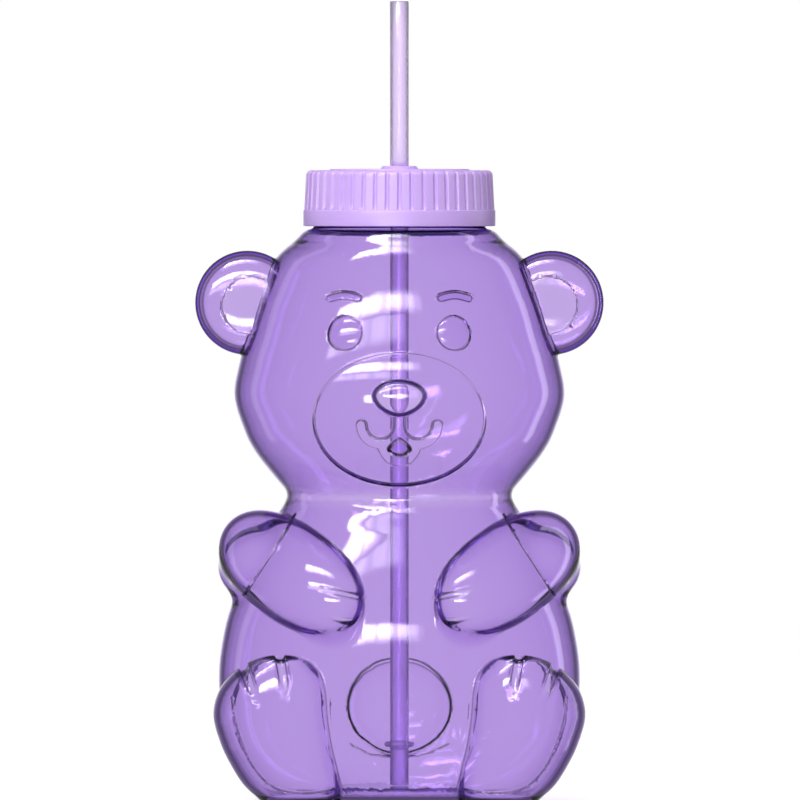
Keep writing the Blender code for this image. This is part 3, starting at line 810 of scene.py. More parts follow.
def skin(p):
    """The outside of the bear with the moulded lines as well."""
    d = plain_skin(p)
    front = -p[:, 1]
    open_face = np.where(nose(p) > NOSE_CLEARANCE, front, -1.0)
    gap = mouth_gap(p)
    above = seen_from(p, MOUTH_ARC_CENTRE) < MOUTH_ARC_RADIUS
    d = channel(d, gap, MOUTH_HALF_WIDTH, MOUTH_DEPTH, open_face)
    share = np.where(above, 1.0, MOUTH_LOW_SHARE)
    d = crease(d, np.abs(gap - MOUTH_HALF_WIDTH), MOUTH_CREASE, open_face, share)
    d = blend_union(d, tongue(p), OUTSIDE["tongue"])
    d = crease(d, np.abs(tongue_outline(p)), TONGUE_CREASE, front)
    outward = (np.abs(p[:, 0]) - EYE_CENTRE[0]) / EYE_RADIUS
    upward = (p[:, 2] - EYE_CENTRE[1]) / EYE_RADIUS
    middle, by_side, by_height = EYE_SHARES
    share = middle + by_side * outward + by_height * upward
    share = np.clip(share, EYE_INNER_SHARE, EYE_OUTER_SHARE)
    d = crease(d, np.abs(eye_rim(p)), EYE_CREASE, front, share)
    d = crease(d, np.abs(brow_outline(p)), BROW_CREASE, front, brow_top_share(p))
    on_face = np.where(stacked(p, HEAD_TABLE) < FACE_REACH, front, -1.0)
    share = 1.0 + MUZZLE_SHARE_SLOPE * (MUZZLE_CENTRE_Z - p[:, 2])
    share = np.clip(share, *MUZZLE_SHARE_LIMITS)
    d = crease(d, np.abs(muzzle_side(p)), MUZZLE_CREASE, on_face, share)
    d = ear_dish(p, d)
    d = lined(p, d, FINGER_LINES, FINGER_LINE_RADIUS, FINGER_LINE_DEPTH, FINGER_LINE_FADE)
    d = crease(d, seen_gap(p, SOLE_CURVE), SOLE_CREASE, front - LINE_FRONT)
    d = crease(d, seen_gap(p, ARM_SEAM_CURVE), ARM_SEAM_CREASE, front)
    d = crease(d, tail_ring_gap(p), TAIL_CREASE, p[:, 1])
    return crease(d, seen_gap(p, TAIL_FOLD_LINE), TAIL_FOLD_CREASE, p[:, 1])


def cavity(p):
    """The inside of the bear: the forms drawn in by the wall, with softer corners."""
    radius = from_axis(p)
    d = body_forms(p, CAVITY_SOFTNESS, WALL, TOE_LINE_DEPTH - TOE_LINE_LOSS)
    d = blend_union(d, nose(p) + NOSE_WALL, INSIDE["nose"])
    d = blend_union(d, eyes(p, WALL), INSIDE["eye"])
    d = blend_cut(d, p[:, 2] - WALL, INSIDE["base"])
    d = blend_cut(d, push_up(p, WALL), INSIDE["push_up"])
    bore = np.maximum(radius - NECK_RADIUS + NECK_WALL, NECK_ROOT - p[:, 2])
    bore = np.maximum(bore, p[:, 2] - BODY_HIGH[2] - NECK_SPARE)
    joined = blend_union(d, bore, INSIDE["neck"])
    return np.where(p[:, 2] > SHOULDER_TOP - BORE_BLEND_DEPTH, joined, d)


def shortest(p, rows):
    """The least length that the rows give at a point.

    Each row has the distance from a fine form, how near counts, and the length there.
    """
    length = np.full(len(p), FAR)
    for gap, reach, fine in rows:
        length = np.minimum(length, np.where(gap < reach, fine, FAR))
    return length


def skin_length(p):
    """How long an edge of the skin may be at a point."""
    front = np.where(p[:, 1] < 0.0, 0.0, FAR)
    back = np.where(p[:, 1] > 0.0, 0.0, FAR)
    radius = from_axis(p)
    toe = np.minimum(*[seen_gap(p, smooth_line(line)) for line in TOE_LINES])
    finger = np.minimum(*[seen_gap(p, smooth_line(line)) for line in FINGER_LINES])
    neck_root = np.where(radius < 34.0, np.abs(p[:, 2] - SHOULDER_TOP), FAR)
    dish = np.abs(seen_from(p, DISH_CENTRE) - DISH_RADIUS)
    dish = np.where(np.abs(ears(p)) < 1.0, dish, FAR)
    torso = stacked(p, TORSO_TABLE)
    rows = (
        (front + np.abs(mouth_gap(p) - MOUTH_HALF_WIDTH), 0.6, 0.12),
        (front + np.abs(tongue_outline(p)), 0.7, 0.12),
        (np.abs(nose(p)), 1.0, 0.35),
        (front + np.abs(eye_rim(p)), 0.55, 0.12),
        (np.abs(eyes(p)), 0.6, 0.6),
        (front + dish, 0.5, 0.25),
        (back + np.hypot(tail(p), torso), 1.2, 0.4),
        (back + tail_ring_gap(p), 0.5, 0.2),
        (np.abs(push_up(p, 0.0)), 0.8, 0.45),
        (np.abs(brow_outline(p)), 0.55, 0.12),
        (front + np.abs(muzzle_side(p)), 0.6, 0.3),
        (front + np.abs(muzzle(p)), 1.5, 0.7),
        (front + toe, TOE_LINE_RADIUS + 1.0, 0.5),
        (front + finger, FINGER_LINE_RADIUS + 0.8, 0.45),
        (front + seen_gap(p, SOLE_CURVE), 0.5, 0.18),
        (front + seen_gap(p, ARM_SEAM_CURVE), 0.6, 0.16),
        (back + seen_gap(p, TAIL_FOLD_LINE), 0.6, 0.25),
        (np.abs(thread_ridge(p)), 0.8, 0.6),
        (neck_root, 1.6, 0.45),
        (p[:, 2], 4.5, 0.8),
    )
    return shortest(p, rows)


def cavity_length(p):
    """How long an edge of the inside may be at a point."""
    back = np.where(p[:, 1] > 0.0, 0.0, FAR)
    tail_edge = back + np.hypot(tail(p) + WALL, stacked(p, TORSO_TABLE) + WALL)
    rows = (
        (p[:, 2], 7.0, 0.9),
        (p[:, 2], 3.2, 0.55),
        (-p[:, 2], -181.0, 0.9),
        (np.abs(push_up(p, WALL)), 0.9, 0.45),
        (tail_edge, 1.6, 0.5),
    )
    return shortest(p, rows)


# Meshes from distances
def sample_grid(field, low, high, step):
    counts = [int(math.ceil((b - a) / step)) + 1 for a, b in zip(low, high)]
    axes = [a + step * np.arange(n) for a, n in zip(low, counts)]
    values = np.empty(counts, np.float32)
    for index, x in enumerate(axes[0]):
        y, z = np.meshgrid(axes[1], axes[2], indexing="ij")
        points = np.column_stack([np.full(y.size, x), y.ravel(), z.ravel()])
        values[index] = np.clip(field(points), -FAR, FAR).reshape(y.shape)
    return values


def gradient(field, p, base=None):
    base = field(p) if base is None else base
    columns = []
    for axis in range(3):
        moved = p.copy()
        moved[:, axis] += SLOPE_STEP
        columns.append((field(moved) - base) / SLOPE_STEP)
    return base, np.column_stack(columns)


def project(field, p, rounds):
    for _ in range(rounds):
        base, slope = gradient(field, p)
        size = np.maximum((slope * slope).sum(axis=1), LEAST_SLOPE)
        step = np.clip(base / size, -1.0, 1.0)
        p = p - slope * step[:, None]
    return p


def unit_slopes(field, points):
    slope = gradient(field, points)[1]
    return slope / np.maximum(np.linalg.norm(slope, axis=1), 1e-9)[:, None]


def edges_of(triangles):
    """The mesh's edges as pairs, and for each triangle the edges after its three corners."""
    pairs = np.vstack([triangles[:, [0, 1]], triangles[:, [1, 2]], triangles[:, [2, 0]]])
    pairs.sort(axis=1)
    edges, place = np.unique(pairs, axis=0, return_inverse=True)
    return edges, place.reshape(3, -1).T


def even_out(field, points, triangles, rounds):
    """Spreads the points evenly along the surface."""
    edges = edges_of(triangles)[0]
    start = np.concatenate([edges[:, 0], edges[:, 1]])
    end = np.concatenate([edges[:, 1], edges[:, 0]])
    count = np.bincount(start, minlength=len(points))
    for _ in range(rounds):
        total = [np.bincount(start, points[end, axis], len(points)) for axis in range(3)]
        middle = np.column_stack(total) / count[:, None]
        points = project(field, points + 0.5 * (middle - points), 1)
    return points


def split_edges(points, triangles, edges, place, chosen):
    """Cuts the chosen edges in two, with the triangles beside them."""
    middle = np.full(len(edges), -1)
    middle[chosen] = len(points) + np.arange(np.count_nonzero(chosen))
    points = np.vstack([points, points[edges[chosen]].mean(axis=1)])
    cuts = middle[place]
    count = (cuts >= 0).sum(axis=1)
    made = [triangles[count == 0]]
    for turn in range(3):
        corners = np.roll(triangles, -turn, axis=1)
        turned = np.roll(cuts, -turn, axis=1)
        one = (count == 1) & (turned[:, 0] >= 0)
        a, b, c = corners[one].T
        ab = turned[one, 0]
        made += [np.column_stack([a, ab, c]), np.column_stack([ab, b, c])]
        two = (count == 2) & (turned[:, 2] < 0)
        a, b, c = corners[two].T
        ab, bc = turned[two, 0], turned[two, 1]
        made.append(np.column_stack([ab, b, bc]))
        across = np.linalg.norm(points[a] - points[bc], axis=1)
        other = np.linalg.norm(points[ab] - points[c], axis=1)
        short = (across < other)[:, None]
        made.append(np.where(short, np.column_stack([a, ab, bc]), np.column_stack([a, ab, c])))
        made.append(np.where(short, np.column_stack([a, bc, c]), np.column_stack([ab, bc, c])))
    a, b, c = triangles[count == 3].T
    ab, bc, ca = cuts[count == 3].T
    for corners in ((a, ab, ca), (ab, b, bc), (ca, bc, c), (ab, bc, ca)):
        made.append(np.column_stack(corners))
    return points, np.vstack(made)


def iso_surface(field, low, high, step, wanted_length):
    """Points and triangles on the field's zero surface, finer where it turns or where wanted."""
    values = sample_grid(field, low, high, step)
    grid = openvdb.FloatGrid(FAR)
    grid.copyFromArray(values)
    points, quads = grid.convertToQuads(isovalue=0.0)
    points = project(field, points.astype(float) * step + np.array(low), 3)
    quads = quads.astype(int)
    triangles = np.vstack([quads[:, [0, 1, 2]], quads[:, [0, 2, 3]]])
    points = even_out(field, points, triangles, 3)
    normals = unit_slopes(field, points)
    for _ in range(REFINE_ROUNDS):
        edges, place = edges_of(triangles)
        length = np.linalg.norm(points[edges[:, 0]] - points[edges[:, 1]], axis=1)
        facing = (normals[edges[:, 0]] * normals[edges[:, 1]]).sum(axis=1)
        turned = (facing < math.cos(math.radians(TURN_LIMIT))) & (length > SHORTEST_EDGE)
        middle = points[edges].mean(axis=1)
        chosen = turned | (length > LENGTH_SPARE * wanted_length(middle))
        if not chosen.any():
            break
        old_count = len(points)
        points, triangles = split_edges(points, triangles, edges, place, chosen)
        points[old_count:] = project(field, points[old_count:], 2)
        normals = np.vstack([normals, unit_slopes(field, points[old_count:])])
    return even_out(field, points, triangles, 2), triangles


def sink(points, plain, detailed):
    """Moves points on the plain surface straight in or out to the detailed one."""
    gap = detailed(points)
    moved = np.abs(gap) > TOUCH
    start = points[moved]
    normals = unit_slopes(plain, start)
    inner = np.full(len(start), -SINK_DEPTH)
    outer = np.full(len(start), SINK_RISE)
    for _ in range(SINK_ROUNDS):
        middle = (inner + outer) / 2.0
        outside = detailed(start + normals * middle[:, None]) > 0.0
        outer = np.where(outside, middle, outer)
        inner = np.where(outside, inner, middle)
    points = points.copy()
    points[moved] = start + normals * ((inner + outer) / 2.0)[:, None]
    return points


def to_bmesh(points, triangles):
    spare = bpy.data.meshes.new("spare")
    spare.from_pydata(points.tolist(), [], triangles.tolist())
    bm = bmesh.new()
    bm.from_mesh(spare)
    bpy.data.meshes.remove(spare)
    return bm


def open_top(bm, height, lip_shift):
    """Cuts the neck off level and draws its edge up and sideways into a lip."""
    geometry = bm.verts[:] + bm.edges[:] + bm.faces[:]
    bmesh.ops.bisect_plane(
        bm, geom=geometry, plane_co=(0, 0, height), plane_no=(0, 0, 1), clear_outer=True
    )
    rim = [vert for vert in bm.verts if vert.is_boundary]
    bmesh.ops.remove_doubles(bm, verts=rim, dist=RIM_MERGE)
    edges = [edge for edge in bm.edges if edge.is_boundary]
    raised = bmesh.ops.extrude_edge_only(bm, edges=edges)["geom"]
    for vert in [item for item in raised if isinstance(item, bmesh.types.BMVert)]:
        radius = math.hypot(vert.co.x, vert.co.y)
        vert.co.x *= (radius + lip_shift) / radius
        vert.co.y *= (radius + lip_shift) / radius
        vert.co.z = height + abs(lip_shift)


def heading(vert):
    return math.atan2(vert.co.y, vert.co.x)


def zip_rings(bm, first, second):
    """Joins two level rings of points round the Z axis with a strip of triangles."""
    first, second = [sorted(ring, key=heading) for ring in (first, second)]
    turns = []
    for ring in (first, second):
        angles = [heading(vert) for vert in ring]
        turns.append(angles + [angles[0] + 2.0 * math.pi])
    a = b = 0
    while a < len(first) or b < len(second):
        corners = (first[a % len(first)], second[b % len(second)])
        if b == len(second) or (a < len(first) and turns[0][a + 1] < turns[1][b + 1]):
            a += 1
            bm.faces.new((corners[0], first[a % len(first)], corners[1]))
        else:
            b += 1
            bm.faces.new((corners[0], second[b % len(second)], corners[1]))


def mesh_object(name, bm, scale=MM):
    bm.transform(Matrix.Scale(scale, 4))
    mesh = bpy.data.meshes.new(name)
    bm.to_mesh(mesh)
    bm.free()
    mesh.shade_smooth()
    made = bpy.data.objects.new(name, mesh)
    bpy.context.scene.collection.objects.link(made)
    return made


def build_bear_shell():
    """One closed mesh: the outside, the lip of the mouth and the inside."""
    reach = 4.0
    low = BODY_LOW - reach
    high = BODY_HIGH + reach
    points, triangles = iso_surface(plain_skin, low, high, SKIN_STEP, skin_length)
    outside = to_bmesh(sink(points, plain_skin, skin), triangles)
    inside = to_bmesh(*iso_surface(cavity, low, high, CAVITY_STEP, cavity_length))
    lip = BODY_HIGH[2] - NECK_LIP
    open_top(outside, lip, -NECK_LIP)
    open_top(inside, lip, NECK_LIP)
    bmesh.ops.reverse_faces(inside, faces=inside.faces[:])
    outer_count = len(outside.verts)
    both = bmesh.new()
    for part in (outside, inside):
        spare = bpy.data.meshes.new("spare")
        part.to_mesh(spare)
        part.free()
        both.from_mesh(spare)
        bpy.data.meshes.remove(spare)
    rim = [vert for vert in both.verts if vert.is_boundary]
    middle = NECK_RADIUS - NECK_WALL / 2.0
    outer_rim = [vert for vert in rim if vert.co.xy.length > middle]
    inner_rim = [vert for vert in rim if vert.co.xy.length < middle]
    zip_rings(both, outer_rim, inner_rim)
    bmesh.ops.triangulate(both, faces=[face for face in both.faces if len(face.verts) > 3])
    points = np.array([vert.co for vert in both.verts], float)
    normals = unit_slopes(skin, points)
    normals[outer_count:] = -unit_slopes(cavity, points[outer_count:])
    both.normal_update()
    lip_points = points[:, 2] > lip - TOUCH
    normals[lip_points] = np.array([vert.normal for vert in both.verts])[lip_points]
    shell = mesh_object("bear_shell", both)
    shell.data.normals_split_custom_set_from_vertices(normals.tolist())
    return shell


# Turned pieces
def join_rings(bm, rings, following):
    """Four-sided faces from each ring of points to the one that follows it."""
    for first, second in zip(rings, following):
        for side in range(len(first)):
            after = (side + 1) % len(first)
            bm.faces.new((first[side], first[after], second[after], second[side]))


def turned_object(name, profile, segments, depth_at=None):
    """A closed profile of (radius, height) in millimetres swept round the Z axis."""
    bm = bmesh.new()
    rings = []
    for radius, height in profile:
        ring = []
        for step in range(segments):
            angle = 2.0 * math.pi * step / segments
            reach = radius
            if depth_at is not None:
                reach -= depth_at(radius, height, angle)
            ring.append(bm.verts.new((reach * math.cos(angle), reach * math.sin(angle), height)))
        rings.append(ring)
    join_rings(bm, rings, rings[1:] + rings[:1])
    bmesh.ops.recalc_face_normals(bm, faces=bm.faces)
    made = mesh_object(name, bm)
    made.data.set_sharp_from_angle(angle=math.radians(SHARP_ANGLE))
    return made


def corner(centre, radius, start, end, steps=6):
    """Points of a round corner, with angles in degrees."""
    angles = [math.radians(start + (end - start) * step / steps) for step in range(steps + 1)]
    return [(centre[0] + radius * math.cos(a), centre[1] + radius * math.sin(a)) for a in angles]


def straight(start, end, steps):
    """Points between two corners, without either of them."""
    (r0, z0), (r1, z1) = start, end
    shares = [step / steps for step in range(1, steps)]
    return [(r0 + (r1 - r0) * t, z0 + (z1 - z0) * t) for t in shares]


def lid_outline():
    """The lid's closed profile, up the outside and down the inside."""
    low = LID_LOW[2]
    band = LID_HIGH[0]
    top = low + LID_HEIGHT
    panel = top + LID_PANEL_RISE
    boss = LID_HIGH[2]
    edge = LID_EDGE
    shoulder = top - LID_CORNER
    grip_low = (LID_GRIP_RADIUS, LID_BAND_TOP)
    under = top - LID_PLATE
    panel_radius, foot, panel_edge = LID_PANEL_RADIUS, LID_PANEL_FOOT, LID_PANEL_EDGE
    boss_foot = BOSS_FOOT_RADIUS + BOSS_EDGE
    hole_edge, inner_edge = STRAW_HOLE_EDGE, LID_INNER_EDGE
    return [
        *corner((LID_BORE + edge, low + edge), edge, 180.0, 270.0, 3),
        *corner((band - edge, low + edge), edge, 270.0, 360.0, 4),
        *corner((band - edge, LID_BAND_TOP - edge), edge, 0.0, 90.0, 4),
        grip_low,
        *straight(grip_low, (LID_TOP_RADIUS, shoulder), 10),
        *corner((LID_TOP_RADIUS - LID_CORNER, shoulder), LID_CORNER, 0.0, 90.0, 10),
        *straight((LID_TOP_RADIUS - LID_CORNER, top), (panel_radius + 2.0 * foot, top), 4),
        (panel_radius + foot, top),
        *corner((panel_radius - panel_edge, panel - panel_edge), panel_edge, 0.0, 90.0, 3),
        *straight((panel_radius - panel_edge, panel), (boss_foot, panel), 6),
        *corner((boss_foot, panel + BOSS_EDGE), BOSS_EDGE, 270.0, 180.0, 3),
        *corner((BOSS_RADIUS - BOSS_EDGE, boss - BOSS_EDGE), BOSS_EDGE, 0.0, 90.0, 4),
        *corner((STRAW_HOLE + hole_edge, boss - hole_edge), hole_edge, 90.0, 180.0, 3),
        (STRAW_HOLE, under),
        (LID_BORE - inner_edge, under),
        *corner((LID_BORE - inner_edge, under - inner_edge), inner_edge, 90.0, 0.0, 3),
    ]


def grip_depth(radius, height, angle):
    """How far a grip groove is sunk at a point of the lid's outside."""
    if radius < LID_TOP_RADIUS - LID_CORNER - GRIP_END or height < LID_BAND_TOP + TOUCH:
        return 0.0
    pitch = 2.0 * math.pi / GRIP_COUNT
    away = abs((angle / pitch + 0.5) % 1.0 - 0.5) * pitch * LID_GRIP_RADIUS
    rise = max(0.0, 1.0 - (away / GRIP_HALF_WIDTH) ** 2)
    across = rise * rise * (3.0 - 2.0 * rise)
    fade = min(1.0, max(0.0, (LID_LOW[2] + LID_HEIGHT - height) / GRIP_FADE))
    return GRIP_DEPTH * across * math.sqrt(fade)


def build_lid():
    return turned_object("lid_shell", lid_outline(), GRIP_COUNT * GRIP_STEPS, grip_depth)


def build_gasket():
    low, high = SEAL_LOW[2], SEAL_HIGH[2]
    outer, round_ = SEAL_HIGH[0], SEAL_ROUNDING
    inner = outer - SEAL_WIDTH
    points = [
        *corner((inner + round_, low + round_), round_, 180.0, 270.0, 4),
        *corner((outer - round_, low + round_), round_, 270.0, 360.0, 4),
        *corner((outer - round_, high - round_), round_, 0.0, 90.0, 4),
        *corner((inner + round_, high - round_), round_, 90.0, 180.0, 4),
    ]
    return turned_object("gasket_ring", points, SEAL_SIDES)


def build_straw():
    low, high = STRAW_LOW[2], STRAW_HIGH[2]
    lip = (STRAW_RADIUS - STRAW_BORE) / 2.0
    middle = STRAW_BORE + lip
    stop = STOP_THICKNESS / 2.0
    root = STOP_ROOT
    points = [
        *corner((middle, low + lip), lip, 180.0, 360.0, 6),
        *corner((STRAW_RADIUS + root, STOP_CENTRE_Z - stop - root), root, 180.0, 90.0, 3),
        *corner((STOP_RADIUS - stop, STOP_CENTRE_Z), stop, -90.0, 90.0, 8),
        *corner((STRAW_RADIUS + root, STOP_CENTRE_Z + stop + root), root, 270.0, 180.0, 3),
        *straight((STRAW_RADIUS, STOP_CENTRE_Z + STRAW_END), (STRAW_RADIUS, high - STRAW_END), 24),
        *corner((middle, high - lip), lip, 0.0, 180.0, 6),
    ]
    return turned_object("straw_tube", points, STRAW_SIDES)


def build_lid_thread():
    """A ridge round the inside of the lid's skirt, one and a half turns long."""
    bm = bmesh.new()
    rings = []
    for step in range(LID_THREAD_STEPS + 1):
        t = step / LID_THREAD_STEPS
        angle = 2.0 * math.pi * THREAD_TURNS * t
        ease = min(1.0, min(t, 1.0 - t) * LID_THREAD_EASE)
        size = LID_THREAD_TIP + (1.0 - LID_THREAD_TIP) * math.sqrt(ease)
        height = THREAD_START - THREAD_PITCH / 2.0 + THREAD_PITCH * THREAD_TURNS * t
        ring = []
        for side in range(LID_THREAD_SIDES):
            turn = 2.0 * math.pi * side / LID_THREAD_SIDES
            radius = LID_BORE + LID_THREAD_ROOT / 2.0 - THREAD_HEIGHT * size * math.cos(turn)
            level = height + THREAD_HALF_WIDTH * size * math.sin(turn)
            radius = min(radius, LID_BORE + LID_THREAD_ROOT)
            ring.append(bm.verts.new((radius * math.cos(angle), radius * math.sin(angle), level)))
        rings.append(ring)
    join_rings(bm, rings, rings[1:])
    bm.faces.new(rings[0])
    bm.faces.new(rings[-1])
    bmesh.ops.recalc_face_normals(bm, faces=bm.faces)
    return mesh_object("lid_thread", bm)


# Materials
def add_node(tree, kind, *values):
    """A new node, with its sockets set from pairs of name and value."""
    node = tree.nodes.new(kind)
    for socket, value in values:
        node.inputs[socket].default_value = value
    return node


def new_material(name, colour, *values):
    """A material and its shader, set from pairs of socket and value."""
    made = bpy.data.materials.new(name)
    made.use_nodes = True
    made.diffuse_color = (*colour, 1.0)
    shader = made.node_tree.nodes["Principled BSDF"]
    for socket, value in (("Base Color", (*colour, 1.0)), *values):
        shader.inputs[socket].default_value = value
    return made, shader


def add_bumps(material, shader, size):
    """Fine unevenness of the surface from noise, in the object's own coordinates."""
    tree = material.node_tree
    scale, detail, strength, distance = size
    place = add_node(tree, "ShaderNodeTexCoord")
    noise = add_node(tree, "ShaderNodeTexNoise", ("Scale", scale), ("Detail", detail))
    bump = add_node(tree, "ShaderNodeBump", ("Strength", strength), ("Distance", distance))
    tree.links.new(place.outputs["Object"], noise.inputs["Vector"])
    tree.links.new(noise.outputs["Fac"], bump.inputs["Height"])
    tree.links.new(bump.outputs["Normal"], shader.inputs["Normal"])


def let_lamps_through(material, shader, tint):
    """Shadow rays pass, so that lamps light what is inside."""
    tree = material.node_tree
    path = add_node(tree, "ShaderNodeLightPath")
    clear = add_node(tree, "ShaderNodeBsdfTransparent", ("Color", (*tint, 1.0)))
    mix = add_node(tree, "ShaderNodeMixShader")
    tree.links.new(path.outputs["Is Shadow Ray"], mix.inputs["Fac"])
    tree.links.new(shader.outputs["BSDF"], mix.inputs[1])
    tree.links.new(clear.outputs["BSDF"], mix.inputs[2])
    tree.links.new(mix.outputs["Shader"], tree.nodes["Material Output"].inputs["Surface"])


def bear_material():
    values = (("Roughness", 0.02), ("Transmission Weight", 1.0), ("IOR", PLASTIC_IOR))
    material, shader = new_material("tinted_clear_plastic", (1.0, 1.0, 1.0), *values)
    add_bumps(material, shader, BODY_BUMPS)
    let_lamps_through(material, shader, BODY_SHADOW)
    tree = material.node_tree
    tint = (("Color", BODY_TINT), ("Density", BODY_TINT_DENSITY))
    absorb = add_node(tree, "ShaderNodeVolumeAbsorption", *tint)
    tree.links.new(absorb.outputs["Volume"], tree.nodes["Material Output"].inputs["Volume"])
    material.diffuse_color = BODY_PREVIEW
    return material


def lid_material():
    values = (
        ("Roughness", 0.36), ("IOR", 1.5), ("Subsurface Weight", 0.25),
        ("Subsurface Radius", (0.6, 0.45, 0.9)), ("Subsurface Scale", 0.002),
    )
    material, shader = new_material("satin_lilac_plastic", LID_COLOUR, *values)
    add_bumps(material, shader, LID_BUMPS)
    return material


def straw_material():
    values = (
        ("Roughness", 0.13), ("Transmission Weight", 0.92), ("Specular IOR Level", 0.15),
        ("IOR", PLASTIC_IOR),
    )
    material, shader = new_material("translucent_lilac_plastic", STRAW_COLOUR, *values)
    add_bumps(material, shader, STRAW_BUMPS)
    let_lamps_through(material, shader, STRAW_SHADOW)
    return material


def gasket_material():
    material, shader = new_material("pale_rubber", GASKET_COLOUR, ("Roughness", 0.6))
    add_bumps(material, shader, GASKET_BUMPS)
    return material


def paint(thing, material):
    thing.data.materials.clear()
    thing.data.materials.append(material)


# Light
def put_and_aim(thing, place, target):
    """Links a lamp or camera into the scene at a place, facing the target."""
    bpy.context.scene.collection.objects.link(thing)
    thing.location = place
    aim = Vector(target) - Vector(place)
    thing.rotation_euler = aim.to_track_quat("-Z", "Y").to_euler()


def add_lamp(name, place, target, size, power):
    data = bpy.data.lights.new(name, "AREA")
    data.shape = "RECTANGLE"
    data.size, data.size_y = size
    data.energy = power
    lamp = bpy.data.objects.new(name, data)
    put_and_aim(lamp, place, target)
    lamp.visible_camera = False
    return lamp


def add_soft_lamp(name, place, size, power):
    """Lights dull surfaces and shows in no reflection."""
    lamp = add_lamp(name, place, MIDDLE, size, power)
    lamp.visible_glossy = False
    lamp.visible_transmission = False
    return lamp


def add_fade(tree, value, start, end, low, high):
    """Nodes that ease value, from low where it is start to high where it is end."""
    limits = (("From Min", start), ("From Max", end), ("To Min", low), ("To Max", high))
    fade = add_node(tree, "ShaderNodeMapRange", *limits)
    fade.interpolation_type = "SMOOTHSTEP"
    tree.links.new(value, fade.inputs["Value"])
    return fade.outputs["Result"]


def add_window(name, azimuths, heights, brightness, left_share):
    """A pane upright before the bottle that shows in its gloss: soft edges, fading to the left."""
    left, right = [WINDOW_DISTANCE * math.tan(math.radians(angle)) for angle in azimuths]
    low, high = heights
    place = ((left + right) / 2.0, -WINDOW_DISTANCE, (low + high) / 2.0)
    size = (right - left, high - low)
    lamp = add_lamp(name, place, (place[0], 0.0, place[2]), size, brightness * size[0] * size[1])
    lamp.visible_diffuse = False
    lamp.data.use_nodes = True
    tree = lamp.data.node_tree
    surface = add_node(tree, "ShaderNodeNewGeometry")
    split = add_node(tree, "ShaderNodeSeparateXYZ")
    tree.links.new(surface.outputs["Parametric"], split.inputs["Vector"])
    across, upward = split.outputs["X"], split.outputs["Y"]
    streaks = add_node(tree, "ShaderNodeTexNoise")
    streaks.noise_dimensions = "1D"
    streaks.inputs["Scale"].default_value = WINDOW_STREAKS
    streaks.inputs["Detail"].default_value = 1.0
    tree.links.new(across, streaks.inputs["W"])
    strength = add_fade(tree, across, 1.0, WINDOW_LEFT_FADE, left_share, 1.0)
    for value, start, end, least in (
        (across, 0.0, WINDOW_RIGHT, 0.0),
        (across, 1.0, WINDOW_LEFT, 0.0),
        (upward, 0.0, WINDOW_SOFTNESS, 0.0),
        (upward, 1.0, 1.0 - WINDOW_SOFTNESS, 0.0),
        (streaks.outputs["Fac"], *WINDOW_STREAK_RANGE, WINDOW_STREAK_LEAST),
    ):
        product = add_node(tree, "ShaderNodeMath")
        product.operation = "MULTIPLY"
        tree.links.new(strength, product.inputs[0])
        tree.links.new(add_fade(tree, value, start, end, least, 1.0), product.inputs[1])
        strength = product.outputs["Value"]
    tree.links.new(strength, tree.nodes["Emission"].inputs["Strength"])


def polar(azimuth, elevation, distance, centre):
    """A place round a centre: azimuth 0 is in front, positive towards +X."""
    a = math.radians(azimuth)
    e = math.radians(elevation)
    away = Vector((math.sin(a) * math.cos(e), -math.cos(a) * math.cos(e), math.sin(e)))
    return Vector(centre) + away * distance


def build_world():
    """White to the camera; seen through the plastic, bright behind and darker at the sides."""
    world = bpy.data.worlds.new("studio")
    bpy.context.scene.world = world
    world.use_nodes = True
    tree = world.node_tree
    room = tree.nodes["Background"]
    place = add_node(tree, "ShaderNodeTexCoord")
    split = add_node(tree, "ShaderNodeSeparateXYZ")
    ramp = add_node(tree, "ShaderNodeValToRGB")
    for index, grey in enumerate((ROOM_FRONT, ROOM_BACK)):
        ramp.color_ramp.elements[index].position = float(index)
        ramp.color_ramp.elements[index].color = (grey, grey, grey, 1.0)
    for position, grey in ROOM_STEPS:
        ramp.color_ramp.elements.new(position).color = (grey, grey, grey, 1.0)
    remap = add_node(tree, "ShaderNodeMapRange", ("From Min", -1.0), ("From Max", 1.0))
    white = add_node(tree, "ShaderNodeBackground", ("Color", (1.0, 1.0, 1.0, 1.0)))
    path = add_node(tree, "ShaderNodeLightPath")
    mix = add_node(tree, "ShaderNodeMixShader")
    for start, end in (
        (place.outputs["Generated"], split.inputs["Vector"]),
        (split.outputs["Y"], remap.inputs["Value"]),
        (remap.outputs["Result"], ramp.inputs["Fac"]),
        (ramp.outputs["Color"], room.inputs["Color"]),
        (path.outputs["Is Camera Ray"], mix.inputs["Fac"]),
        (room.outputs["Background"], mix.inputs[1]),
        (white.outputs["Background"], mix.inputs[2]),
        (mix.outputs["Shader"], tree.nodes["World Output"].inputs["Surface"]),
    ):
        tree.links.new(start, end)


def build_lamps():
    for window in WINDOWS:
        add_window(*window)
    for name, azimuth, elevation, power in SOFT_LAMPS:
        place = polar(azimuth, elevation, SOFT_LAMP_DISTANCE, MIDDLE)
        add_soft_lamp(name, place, SOFT_LAMP_SIZE, power)
    for side, power in STRIPS:
        place = polar(STRIP_AZIMUTH * side, STRIP_ELEVATION, STRIP_DISTANCE, MIDDLE)
        strip = add_lamp(f"strip_{side:.0f}", place, MIDDLE, STRIP_SIZE, power)
        strip.visible_diffuse = False


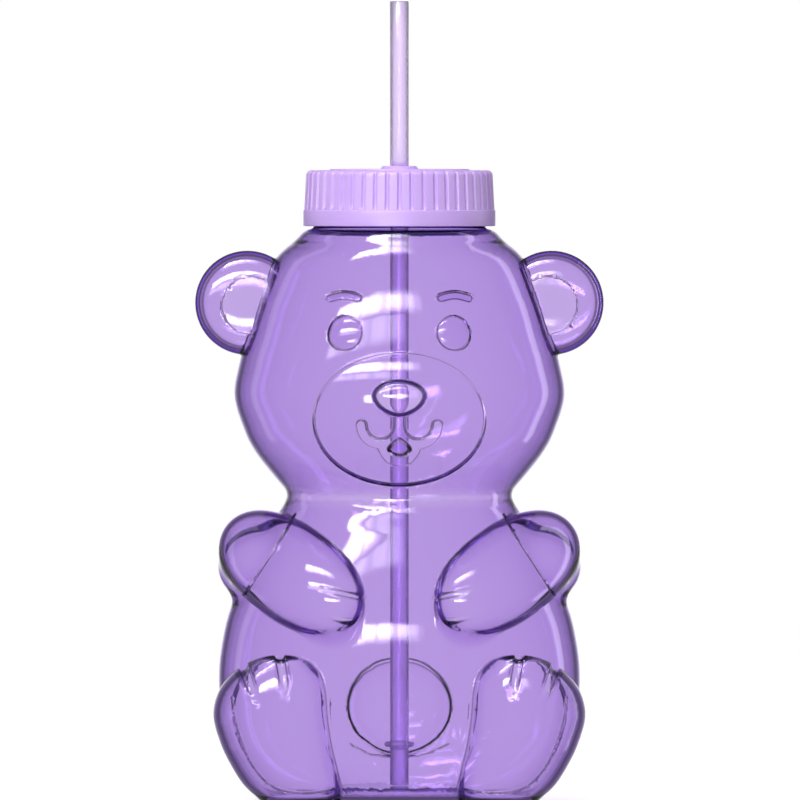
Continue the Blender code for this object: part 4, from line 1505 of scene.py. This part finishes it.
def build_floor():
    """A round pale floor that the bottle stands on, white where no shadow falls."""
    bm = bmesh.new()
    bmesh.ops.create_circle(bm, cap_ends=True, segments=FLOOR_SIDES, radius=FLOOR_RADIUS)
    floor = mesh_object("floor", bm, 1.0)
    floor.location.z = -FLOOR_GAP
    values = (
        ("Roughness", 0.8), ("Specular IOR Level", 0.1), ("Emission Color", (1.0, 1.0, 1.0, 1.0)),
    )
    material, shader = new_material("pale_floor", FLOOR_COLOUR, *values)
    tree = material.node_tree
    path = add_node(tree, "ShaderNodeLightPath")
    glow = add_node(tree, "ShaderNodeMath")
    glow.operation = "MULTIPLY"
    glow.inputs[1].default_value = FLOOR_GLOW
    tree.links.new(path.outputs["Is Camera Ray"], glow.inputs[0])
    tree.links.new(glow.outputs["Value"], shader.inputs["Emission Strength"])
    floor.data.materials.append(material)
    floor.visible_glossy = False
    floor.visible_transmission = False


def build_camera():
    data = bpy.data.cameras.new("camera")
    data.sensor_width = CAMERA_SENSOR
    data.clip_start, data.clip_end = CAMERA_CLIP
    data.lens = data.sensor_width * CAMERA_DISTANCE / CAMERA_WIDTH_SEEN
    camera = bpy.data.objects.new("camera", data)
    place = polar(0.0, CAMERA_ELEVATION, CAMERA_DISTANCE, CAMERA_TARGET)
    put_and_aim(camera, place, CAMERA_TARGET)
    bpy.context.scene.camera = camera


def main():
    bpy.context.scene.view_settings.view_transform = "Standard"
    build_world()
    build_lamps()
    build_floor()
    build_camera()
    bear = build_bear_shell()
    paint(bear, bear_material())
    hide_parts("bear_body")
    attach(bear, "bear")
    lilac = lid_material()
    lid = build_lid()
    paint(lid, lilac)
    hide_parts("screw_lid")
    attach(lid, "lid")
    thread = build_lid_thread()
    paint(thread, lilac)
    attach(thread, "lid")
    gasket = build_gasket()
    paint(gasket, gasket_material())
    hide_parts("lid_seal")
    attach(gasket, "seal")
    straw = build_straw()
    paint(straw, straw_material())
    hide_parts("straw")
    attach(straw, "straw")
    bpy.context.view_layer.update()


main()
